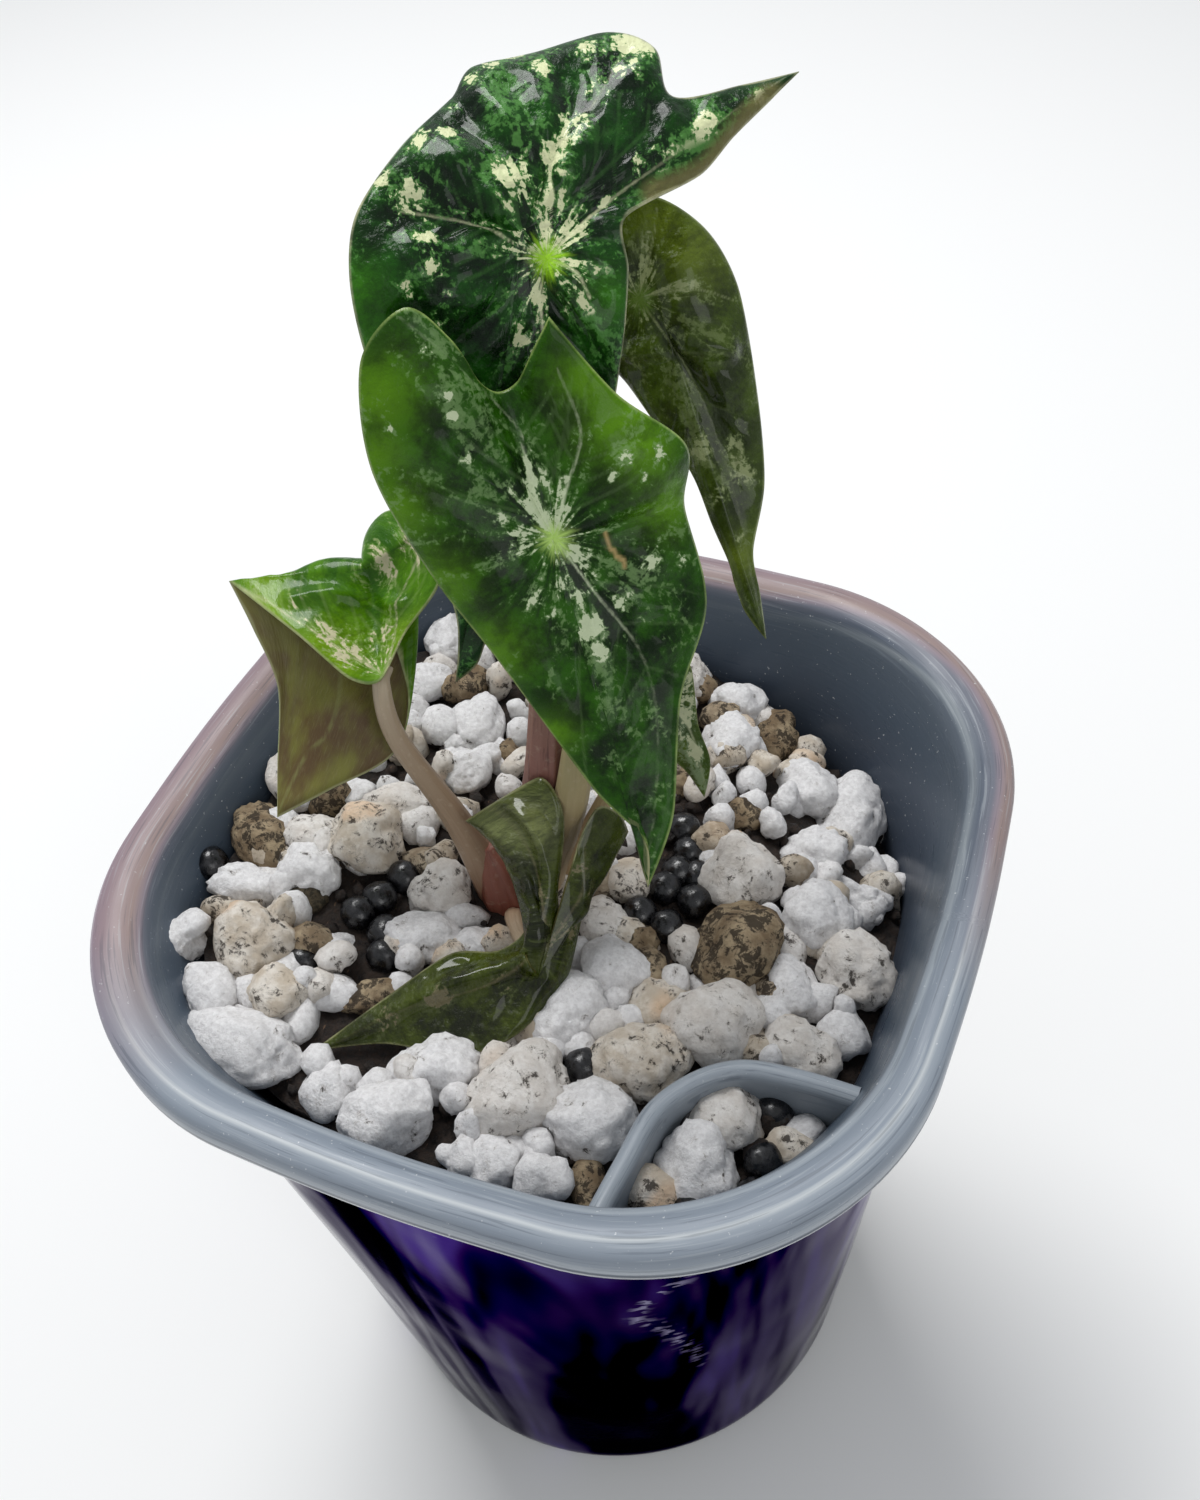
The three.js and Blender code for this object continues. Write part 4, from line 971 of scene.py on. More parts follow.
# %% The surface and the shapes to strew
def surface_mesh(name, step, height):
    """A square sheet that lies on the mix and carries the room at each point."""
    side = np.arange(-46, 46 + step, step)
    x, y = np.meshgrid(side, side, indexing="ij")
    count = len(side)
    points = np.stack([x.ravel(), y.ravel(), height(x, y).ravel()], axis=1)
    faces = [(i * count + j, (i + 1) * count + j, (i + 1) * count + j + 1, i * count + j + 1)
             for i in range(count - 1) for j in range(count - 1)]
    mesh = bpy.data.meshes.new(name)
    mesh.from_pydata((points * MM).tolist(), [], faces)
    layer = mesh.attributes.new("room", "FLOAT", "POINT")
    layer.data.foreach_set("value", room_at(x.ravel(), y.ravel()).astype(np.float32))
    return mesh


def grain_kinds(name, level, shade):
    """A collection of unit grains to pick from, flattened as grains lie."""
    kinds = bpy.data.collections.new(name)
    for i in range(KINDS):
        points, faces, depth = grain_shape(level, KIND_SEED + i, shade)
        squash = np.array([1.0, 0.85, 0.75]) / 2
        mesh = bpy.data.meshes.new(f"{name}_{i}")
        mesh.from_pydata((points * squash * MM).tolist(), [], faces.tolist())
        mesh.attributes.new("hollow", "FLOAT", "POINT").data.foreach_set("value", depth.astype(np.float32))
        kinds.objects.link(bpy.data.objects.new(f"{name}_{i}", mesh))
    return kinds


surface = surface_mesh("strewing_surface", 1.0, bed_height)
grain_shapes = grain_kinds("grain_kind", 3, 0.2)
small_shapes = grain_kinds("small_grain_kind", 2, 0.3)
crumb_shapes = grain_kinds("crumb_kind", 1, 0.8)
print("surface points:", len(surface.vertices))

# %% [markdown]
# Three layers are strewn: a lower one of small grains that shows in the gaps, one of grains between
# the placed ones, and crumbs of mix over everything. Each result is a plain mesh of its own, and
# the shapes that it was picked from are deleted afterwards.

# %% Strew grains and crumbs
under = surface.copy()
flat = np.zeros(len(under.vertices) * 3)
under.vertices.foreach_get("co", flat)
x, y = flat.reshape(-1, 3)[:, :2].T / MM
open_room = inside_liner(x, y, MIX_LEVEL, LOWER_WALL_ROOM) & ~in_port(x, y)
for bare_x, bare_y, radius in BARE_LOWER:
    open_room &= np.hypot(x - bare_x, y - bare_y) > radius
under.attributes["room"].data.foreach_set("value", open_room.astype(np.float32))
everywhere = surface.copy()
all_room = inside_liner(x, y, MIX_LEVEL, CRUMB_WALL_ROOM)
everywhere.attributes["room"].data.foreach_set("value", all_room.astype(np.float32))

# sizes are in millimetres, since the shapes are a millimetre long
lower = strew("grains_lower", under, small_shapes, grain_material, group,
              {"Spacing": 4.3 * MM, "Smallest": 5.5, "Largest": 7.5, "Lift": 0.4 * MM, "Seed": 5})
upper = strew("grains_between", surface, grain_shapes, grain_material, group,
              {"Spacing": 3.6 * MM, "Smallest": 3.4, "Largest": 5.6, "Lift": 2.0 * MM, "Seed": 9})
for piece in (lower, upper):
    dress(piece, "perlite", "perlite_grains")
crumbs = strew("mix_crumbs", everywhere, crumb_shapes, mix_material, group,
               {"Spacing": 2.0 * MM, "Smallest": 1.0, "Largest": 3.0, "Lift": 0.6 * MM, "Seed": 21})
dress(crumbs, "potting_mix")
for kinds in (grain_shapes, small_shapes, crumb_shapes):
    for scratch in list(kinds.objects):
        bpy.data.objects.remove(scratch)
    bpy.data.collections.remove(kinds)
print("strewn faces:", [len(p.data.polygons) for p in (lower, upper, crumbs)])

# %% [markdown]
# ## Leaves
#
# The leaves are arrow-shaped, thick and waxy, with pale veins and a wavy margin. Each one could be
# a plane that is cut out and bent, but these arch, twist and fold over themselves. So a leaf is a
# fan of curved creases from a hub to points round its margin, as in the solids, but many times
# finer. A number after a margin point bulges its crease, a point bends it, and "tip" is a corner.

# %% Leaf shapes: the three tall leaves
LEAVES = {
    "front": {
        "hub": (5.5, -4, 165), "swell": 0.55,
        "margin": [
            (19, -18.5, 134, "tip"), (20, -13, 139.5), (18.5, -5.5, 149), (19, 1.5, 156),
            (15.5, 5.5, 164.5), (15.5, 6.5, 171, 2.5), (9.5, 4.5, 177, 2), (3.5, 4.5, 184, "tip"),
            (2, 3.5, 181), (0.5, 2.5, 178), (-1, 1, 177.5), (-2, -0.5, 179.5), (-4, -1, 184),
            (-7.5, -2, 187, 2), (-10.5, -6, 183.5, 2.5), (-9.5, -9.5, 174.5, 2),
            (-4.5, -11, 164.5, 2), (2, -12, 155.5, 1.5), (12, -14.5, 142.5), (18, -16, 138),
        ],
    },
    "top": {
        "hub": (-2.5, 13, 187), "swell": 1.0,
        "margin": [
            (-8, -5, 143, "tip"), (-5.5, -4, 145.5), (-3.5, -2.5, 150.5), (0.5, 2.5, 156), (5.5, 9, 166.5),
            (7, 12.5, 176, 1.5), (7, 15.5, 183, 1), (6, 18, 187), (10.5, 26.5, 187.5, 0.5),
            (12.5, 31, 189.5), (15, 35.5, 191.5), (16.5, 39.5, 192.5, "tip"), (12, 35.5, 192.5),
            (6.5, 30.5, 193), (3.5, 34, 195.9, 1), (-1.5, 34.5, 196.8), (-7, 30, 196.2, 1.9),
            (-12, 25, 196.3, 2.4), (-12.5, 21.5, 195, 2.5), (-14.5, 14, 193.5, 2), (-16, 6.5, 190.5),
            (-15.5, 2.5, 186.5, 1.5), (-14, 0, 180.5, 1), (-11.5, -1, 169), (-7, -4, 152.5),
        ],
    },
    "back": {
        "hub": (7, 25, 171), "swell": 0.5,
        "margin": [
            (21.5, 14.5, 140, "tip"), (20, 17, 144), (18.5, 19, 148.5), (18.5, 23, 155),
            (16.5, 26.5, 164, 2), (13, 30.5, 174, 2), (8.5, 32, 179.5, 2), (2.5, 30.5, 182.5),
            (-0.5, 26.5, 177.5), (-3, 26.5, 174), (-1, 24.5, 168), (3, 23, 165), (7, 21.5, 161),
            (11, 20.5, 156.5), (14, 18.5, 151.5), (16.5, 17, 147.5), (18.5, 15.5, 143),
        ],
    },
}
print("tall leaves:", ", ".join(LEAVES))

# %% Leaf shapes: the three low leaves
LEAVES |= {
    "left": {
        "hub": (-24, 6, 146.5), "swell": 0.35,
        "margin": [
            (-30, -15.5, 123.5, "tip", (-28.5, 14, 146)), (-31.5, -11, 127.5, (-31.5, 12, 146)),
            (-33, -5, 134.5, (-34, 9.5, 146.5)), (-36.5, -2, 140.5, (-35, 5.5, 147.5)),
            (-39.5, 0, 145.5, "tip"), (-28, -4.5, 144), (-21.5, -6, 140.5), (-18.5, -4.5, 139.5),
            (-17, 0.5, 143), (-14.5, 6, 147), (-17, 13, 151.5, "tip"), (-24.5, 12.5, 149.5),
            (-26, 9, 146.5), (-17.5, -1, 135, (-20, 15.5, 148.5)), (-18, -6, 129, (-22, 16, 147.5)),
            (-24.5, -11.5, 126, (-25, 15, 146.5)),
        ],
    },
    "small": {
        "hub": (4.5, -19.5, 111.5), "swell": 0.45,
        "margin": [
            (-18.5, -35, 107, "tip"), (-10.5, -31.5, 107.5), (-2, -30, 107), (3, -26.5, 107.5),
            (5.5, -21.5, 108), (7, -16.5, 109.5), (6.5, -7, 115.5), (8.5, -3.5, 117),
            (9.5, -1.5, 119.5, "tip"), (8.5, -1.5, 122.5), (6.5, -3, 124.5), (5.5, -7, 122),
            (6, -11, 118), (5.5, -14, 115), (4, -10.5, 118.5),
            (3.5, -6.5, 122.5), (2.5, -4.5, 126), (-0.5, -3.5, 128),
            (-9, -7.5, 121.5, "tip", (2, -9, 125)), (-3, -8.5, 117), (1, -14, 113.5),
            (-1, -18, 112.5), (-6.5, -20, 112), (-11.5, -26.5, 110.5),
        ],
    },
    "hidden": {
        "hub": (9.5, 12.5, 128), "swell": 0.2,
        "margin": [
            (15, 10.5, 114.5, "tip"), (15, 13, 118.5), (13, 14.5, 123), (11.5, 16.5, 131),
            (8.5, 15.5, 133.5), (6, 11.5, 131), (8, 10.5, 123.5), (12.5, 11, 118),
        ],
    },
}
LEAF_THICKNESS = 0.42
MARGIN_STEP = 0.5  # millimetres between the spokes at the margin
RINGS = 44  # from the hub to the margin
QUILT_WIDTH = 2.4  # how far from a vein the blade reaches its full swell
FLAT_MARGIN = 3.0  # the width over which the swell dies away towards the margin
print("margin points:", {name: len(leaf["margin"]) for name, leaf in LEAVES.items()})

# %% [markdown]
# A midrib and two lobe veins leave the star where the stalk meets the blade. Their courses are
# typed, because they show where the blade bends. Side veins follow a rule. Where the eye needs more
# than the rules give, a leaf has lists of its own, which could be painted by hand instead: ridges
# and puckers (points, width, height), cream marks and lit patches (x, y, z, radius), and scars.

# %% Main veins of each leaf
LEAF_VEINS = {
    "top": [
        [(0, 12.5, 185), (-4, 11.5, 187), (-7.5, 11, 188.5), (-12.5, 8.5, 190)],
        [(0, 12.5, 185), (-0.5, 16.5, 189.5), (-1.5, 19, 192), (0.5, 25, 194), (1, 32.5, 196)],
        [(0, 12.5, 185), (2.5, 16, 187), (4.5, 20, 188), (8.5, 26, 190), (15.5, 38, 192.5)],
        [(0, 12.5, 185), (2.5, 13, 183.5), (4, 12.5, 181.5)],
        [(0, 12.5, 185), (-0.5, 11, 181.5), (0, 8, 175), (-3, 2, 160), (-8, -4.5, 145)],
    ],
    "front": [
        [(5.5, -4, 165.5), (3.5, -3, 169), (2, -1, 173), (0.5, 0, 176), (-8, -2.5, 186.5)],
        [(5.5, -4, 165.5), (6.5, -1.5, 170), (7, 1.5, 174.5), (4.5, 3.5, 179.5)],
        [(5.5, -4, 165.5), (9.5, -4.5, 160), (13.5, -5, 154.5), (16.5, -7.5, 149), (18, -13, 141),
         (18.5, -18, 135)],
    ],
    "back": [
        [(4, 25.5, 174), (10, 24, 166.5), (15.5, 21, 156.5), (19.5, 16.5, 145), (20.5, 14.5, 140.5)],
        [(4, 25.5, 174), (4.5, 29, 179), (4.5, 30.5, 181.5)],
        [(4, 25.5, 174), (9, 27, 175), (13, 29, 173)],
    ],
    "left": [
        [(-18, -4, 140), (-24, -3.5, 142), (-31.5, -2, 144.5), (-38, -0.5, 145.5)],
        [(-18, -4, 140), (-18, 0, 142), (-19, 5, 145), (-18, 10, 149)],
        [(-18, -4, 140), (-25.5, -3, 133), (-28.5, -9.5, 128), (-30, -15.5, 123.5)],
    ],
    "small": [
        [(4.5, -17.5, 113), (-1.5, -22.5, 111), (-10, -28, 109.5), (-17.5, -34.5, 107)],
        [(4.5, -17.5, 113), (3, -13, 117.5), (-1, -8.5, 122.5), (-6.5, -6, 124)],
        [(4.5, -17.5, 113), (6.5, -11, 117), (6.5, -6, 122.5), (7.5, -3, 123)],
    ],
    "hidden": [[(9, 11.5, 129.8), (12, 13, 124), (15, 11, 115)]],
}
print("main veins:", sum(len(courses) for courses in LEAF_VEINS.values()))

# %% Ridges and puckers
LEAF_RIDGES = {
    "top": [
        ([(-4.5, 13.5, 190)], 2.6, 1.5), ([(-6, 8, 183.5)], 2.6, 1.4), ([(2.5, 12.5, 183)], 2.0, 1.0),
        ([(1.5, 21, 192)], 3.2, 0.9), ([(-9, 13, 192)], 2.6, 0.7), ([(-5, 20.5, 194.5)], 3.0, 0.8),
        ([(-10.5, 5.5, 186)], 2.4, 0.8),
    ],
    "front": [
        ([(-5, -4.5, 180)], 4.5, 1.0), ([(11, 1.5, 171)], 3.2, 1.1), ([(13, 0, 161.5)], 2.6, 0.8),
        ([(15, -4, 154.5)], 2.6, 0.9), ([(11, -11, 149)], 3.4, 0.8), ([(1, -8, 163)], 3.0, 0.5),
    ],
    "back": [([(3.5, 23.5, 169), (9, 24.5, 170), (13.5, 26, 169)], 1.2, 1.3),
             ([(8, 27, 176)], 2.5, 0.8)],
    "left": [([(-31, -0.5, 145), (-26, 2.5, 144.5), (-18.5, 3.5, 144)], 1.0, 0.7),
             ([(-26, -5, 131.5)], 4.0, -1.2)],
    "small": [([(-4.5, -5, 125), (0, -7, 124), (2.5, -9.5, 121), (3.5, -12, 118.5), (3.5, -16, 115.5),
                (3.5, -19, 112)], 1.0, 1.8),
              ([(-17.5, -34, 107), (-10, -27.5, 110), (-3, -22, 111.5), (2.5, -18.5, 112.5)], 1.1, 1.6),
              ([(6.5, -8, 121), (7, -12, 114.5)], 1.0, 0.8)],
    "hidden": [],
}
print("ridges:", sum(len(ridges) for ridges in LEAF_RIDGES.values()))

# %% Cream marks
LEAF_MARKS = {
    "top": [
        (1.5, 33.5, 196.5, 1.8), (2, 29, 195.5, 1.3), (1, 26.5, 194.5, 1.5), (-2, 30.5, 196, 1.1),
        (-4, 29, 196, 0.9), (-5, 26, 196, 0.8), (-9, 28, 196, 0.9), (-10, 25, 196, 0.8),
        (-10.5, 22, 195.5, 1), (-10.5, 19, 194.5, 0.9), (-10.5, 16, 193.5, 1), (-12.5, 15, 193, 1),
        (-12, 10.5, 191, 0.7), (-12.5, 8.5, 190, 1.4), (-10, 8, 188, 1), (-9, 6.5, 186.5, 0.9),
        (-15, 10, 191.5, 0.6), (-15, 7, 190, 0.6), (-3.5, 15, 191, 1.5), (-1.5, 19, 191.5, 1.4),
        (-1, 21, 192.5, 1.2), (0, 22.5, 193, 1.1), (-2, 22, 193.5, 1), (-0.5, 16, 189, 0.6),
        (2.5, 15.5, 186.5, 0.6), (3.5, 18.5, 188, 0.5), (5.5, 22.5, 190, 0.8), (7, 24.5, 190.5, 0.8),
        (10, 29, 191.5, 0.7), (14, 35, 192, 0.6), (-8.5, 5, 182.5, 0.9), (-8, 6, 183.5, 0.9),
        (-11, 4, 184.5, 0.7), (-1.5, 8, 179, 0.8), (-0.5, 8, 176.5, 0.7), (-0.5, 10.5, 182, 0.7),
    ],
    "front": [
        (3, -6, 166.5, 1.1), (3.5, -4, 168.5, 0.9), (4.5, -3.5, 167, 0.8), (7.5, -3.5, 163.5, 1),
        (3.5, -2, 170.5, 0.9), (2.5, -1.5, 171.5, 0.7), (8, -5, 160, 0.9), (10, -6, 157.5, 1),
        (12, -3.5, 158.5, 1), (13.5, 0.5, 161.5, 1.2), (12.5, 2.5, 170, 1.1), (11, 2, 171.5, 0.8),
        (7.5, 1.5, 174.5, 1), (13.5, 4, 171, 0.8), (10, 0.5, 170.5, 0.7), (6.5, -5.5, 161, 0.8),
        (11, -7, 155, 0.8), (13, -5, 155.5, 0.9), (9, -7, 156.5, 0.7), (14, -3, 156.5, 0.8),
        (-6, -3, 183.5, 0.4), (-4, -4, 180, 0.4), (-5, -6, 178, 0.4), (-3, -4.5, 178, 0.4),
        (-1.5, -5.5, 174.5, 0.5), (-7.5, -7.5, 178, 0.4), (-7, -8.5, 174.5, 0.4), (1, -6, 168.5, 0.5),
        (2, -4.5, 171, 0.5), (4.5, -8, 161, 0.7), (6, -8, 159, 0.6), (16, 2, 160.5, 0.6),
    ],
    "back": [(15.5, 23.5, 160, 1.7), (16.5, 22.5, 156.5, 1.5), (14.5, 19.5, 155, 1), (12, 21, 160, 1),
             (16.5, 18, 150.5, 0.8)],
    "left": [(-26, -2.5, 143.5, 1.5), (-21.5, 0, 141, 1.6), (-23, -4, 141.5, 1.1), (-22, 7, 147, 1.9),
             (-20.5, 9, 148, 1.3), (-19, 10, 148.5, 1.1), (-29, -2, 144.5, 1.1)],
    "small": [(-11.5, -29.5, 109, 1.9), (-6, -25, 110.5, 1.6), (-7, -29, 108, 1.1), (1, -22, 111, 1.1),
              (2.5, -12, 118, 0.8), (6, -9, 120, 1.1), (7.5, -9.5, 115.5, 1.1), (6.5, -13.5, 114, 1.1)],
    "hidden": [(11.5, 15, 128.5, 1.4), (11.5, 13, 125, 1.7), (13.5, 13, 121, 1.1)],
}
print("marks:", sum(len(marks) for marks in LEAF_MARKS.values()))

# %% Lit patches and scars
LEAF_LIGHTS = {  # where the blade turns bright yellow-green
    "top": [(-15, 1.5, 185, 2.6), (-14, 0, 180.5, 3), (-12.5, 0, 176.5, 3), (5, 13, 181.5, 2)],
    "front": [(10.5, 4, 175, 4), (12, 3, 172.5, 3), (7.5, 4, 178.5, 3), (14, 4, 166, 3),
              (-9.5, -7, 180.5, 3.2), (-10, -9, 176, 3), (-8, -10, 170.5, 3), (-4, -11, 163.5, 3),
              (1, -12, 156.5, 2.7), (7.5, -13.5, 148.5, 2)],
    "back": [(4.5, 30.5, 181, 2.8), (9, 29.5, 177.5, 3), (17.5, 17.5, 148.5, 2.3)],
    "left": [(-24, -4.5, 142, 3.4), (-17.5, -0.5, 142.5, 2.6), (-33, -2.5, 145, 2.4)],
    "small": [(-5, -7, 121, 3), (0, -6, 123, 3), (-2, -8, 117, 2)],
    "hidden": [],
}
# a tan scratch on the front leaf, and the top leaf's lower margin that is turned under
LEAF_SCARS = {
    "front": ([(9.5, -1, 165), (9.5, -1, 164), (10.5, -1.5, 163), (11.5, -1.5, 161.5)], 0.2),
    "top": ([(7.5, 22, 187.5), (10.5, 26.5, 187.5), (12.5, 31, 189.5), (15, 35.5, 191.5)], 1.2),
}
print("lit patches:", sum(len(lights) for lights in LEAF_LIGHTS.values()))

# %% [markdown]
# The fan of creases is a grid of rings by spokes. It is also unrolled flat, in millimetres, because
# a pattern that follows the blade needs distances along it and not through the air.


# %% The fan of creases
def closed_curve(points, sharp, steps):
    """A smooth closed line through some points, with a corner at the sharp ones."""
    count = len(points)
    before, after = np.roll(points, 1, axis=0), np.roll(points, -1, axis=0)
    tangents = 0.5 * (after - before)
    limit = np.minimum(np.linalg.norm(points - before, axis=1), np.linalg.norm(points - after, axis=1))
    size = np.linalg.norm(tangents, axis=1)
    tangents *= np.minimum(1, limit / np.maximum(size, 1e-9))[:, None]
    tangents[np.array(sharp)] = 0
    line = []
    for i in range(count):
        j = (i + 1) % count
        s = (np.arange(steps[i]) / steps[i])[:, None]
        line.append((2 * s ** 3 - 3 * s ** 2 + 1) * points[i] + (s ** 3 - 2 * s ** 2 + s) * tangents[i]
                    + (3 * s ** 2 - 2 * s ** 3) * points[j] + (s ** 3 - s ** 2) * tangents[j])
    return np.vstack(line)


def leaf_grid(leaf):
    """The hub, and the blade's middle surface as rings by spokes."""
    hub = np.array(leaf["hub"], dtype=float)
    ends = np.array([row[:3] for row in leaf["margin"]], dtype=float)
    centre = ends.mean(axis=0)
    normal = np.cross(ends - centre, np.roll(ends, -1, axis=0) - centre).sum(axis=0)
    normal /= np.linalg.norm(normal)
    bends, sharp = [], []
    for row, end in zip(leaf["margin"], ends):
        extras = row[3:]
        over = next((e for e in extras if isinstance(e, tuple)), None)
        bulge = next((e for e in extras if isinstance(e, (int, float))), 0)
        reach = end - hub
        reach = reach - normal * reach.dot(normal)
        bends.append(np.array(over, dtype=float) if over else hub + 0.5 * reach + normal * bulge)
        sharp.append("tip" in extras)
    spans = np.linalg.norm(np.roll(ends, -1, axis=0) - ends, axis=1)
    steps = np.maximum(3, np.round(spans / MARGIN_STEP)).astype(int)
    edge = closed_curve(ends, sharp, steps)
    bend = closed_curve(np.array(bends), [False] * len(bends), steps)
    v = (np.arange(1, RINGS + 1) / RINGS)[:, None, None]
    grid = (1 - v) ** 2 * hub + 2 * v * (1 - v) * bend[None] + v ** 2 * edge[None]
    return hub, grid


def unroll(hub, grid):
    """Flat coordinates in millimetres: the fan opened out round its hub."""
    middle = grid[RINGS // 2] - hub
    middle /= np.linalg.norm(middle, axis=1)[:, None]
    turn = np.arccos(np.clip((middle * np.roll(middle, -1, axis=0)).sum(axis=1), -1, 1))
    angle = np.concatenate([[0], np.cumsum(turn)[:-1]]) * 2 * np.pi / turn.sum()
    pieces = np.diff(np.concatenate([np.broadcast_to(hub, grid[:1].shape), grid]), axis=0)
    reach = np.cumsum(np.linalg.norm(pieces, axis=2), axis=0)
    return np.stack([reach * np.cos(angle), reach * np.sin(angle)], axis=2)


print("rings by spokes:", {name: leaf_grid(leaf)[1].shape[:2] for name, leaf in LEAVES.items()})

# %% [markdown]
# The distance to the nearest vein swells the blade between the veins and drives its colour. A baked
# picture could hold it, but a number on each point needs no picture and stays sharp enough here.


# %% Distances on a blade
SIDE_SHARES = (0.16, 0.32, 0.48, 0.64, 0.8)  # where side veins leave a main vein
SIDE_ANGLE = math.radians(52)
SHORT_VEIN = 12  # millimetres: a shorter main vein has no side veins


def on_plan(points, grid, plan):
    """The flat coordinates of the blade points nearest to some points in space."""
    solid = grid.reshape(-1, 3)
    rows = [np.linalg.norm(solid - np.array(p), axis=1).argmin() for p in points]
    return plan.reshape(-1, 2)[rows]


def vein_lines(courses):
    """Main veins along the courses, and side veins that leave them and bend forwards."""
    main, side = [], []
    for course in courses:
        line = smooth_line(course, 140)
        main.append(line)
        length = np.linalg.norm(np.diff(line, axis=0), axis=1).sum()
        if length < SHORT_VEIN:
            continue
        for share in SIDE_SHARES:
            at = int(share * (len(line) - 2))
            along = line[at + 1] - line[at]
            along /= np.linalg.norm(along)
            across = np.array([-along[1], along[0]])
            for way in (1, -1):
                t = np.linspace(0.02, 1, 60)[:, None] * 0.5 * length * (1.05 - share)
                ahead = np.cos(SIDE_ANGLE) * t + 0.02 * t ** 2
                side.append(line[at] + along * ahead + across * way * np.sin(SIDE_ANGLE) * t)
    return np.vstack(main), (np.vstack(side) if side else np.vstack(main))


def ridge_height(solid, ridges):
    total = np.zeros(len(solid))
    for points, width, height in ridges:
        line = smooth_line(points, 60) if len(points) > 1 else np.array(points, dtype=float)
        total += height * np.exp(-(nearest(solid, line) / width) ** 2)
    return total


def mark_share(marks, grid, plan):
    """0 to 1: how much each point of the flat plan lies in one of the marks."""
    flat_points = plan.reshape(-1, 2)
    share = np.zeros(len(flat_points))
    places = on_plan([mark[:3] for mark in marks], grid, plan) if marks else []
    for place, (_, _, _, radius) in zip(places, marks):
        gap = np.linalg.norm(flat_points - place, axis=1)
        share = np.maximum(share, np.exp(-(gap / radius) ** 2 * 0.7))
    return share


print("side veins on a main vein:", 2 * len(SIDE_SHARES))

# %% [markdown]
# A leaf is green tissue under a clear waxy skin, which to the eye is a coat with soft highlights.
# The upper side mixes deep and bright green, a pale line on each vein, and ragged cream patches.
# Plain noise would look like camouflage. `rays` is a vector on the mesh that turns with the
# direction from the star and grows slowly with the distance, so that noise read with it is drawn
# out along the veins, as the real patches are.

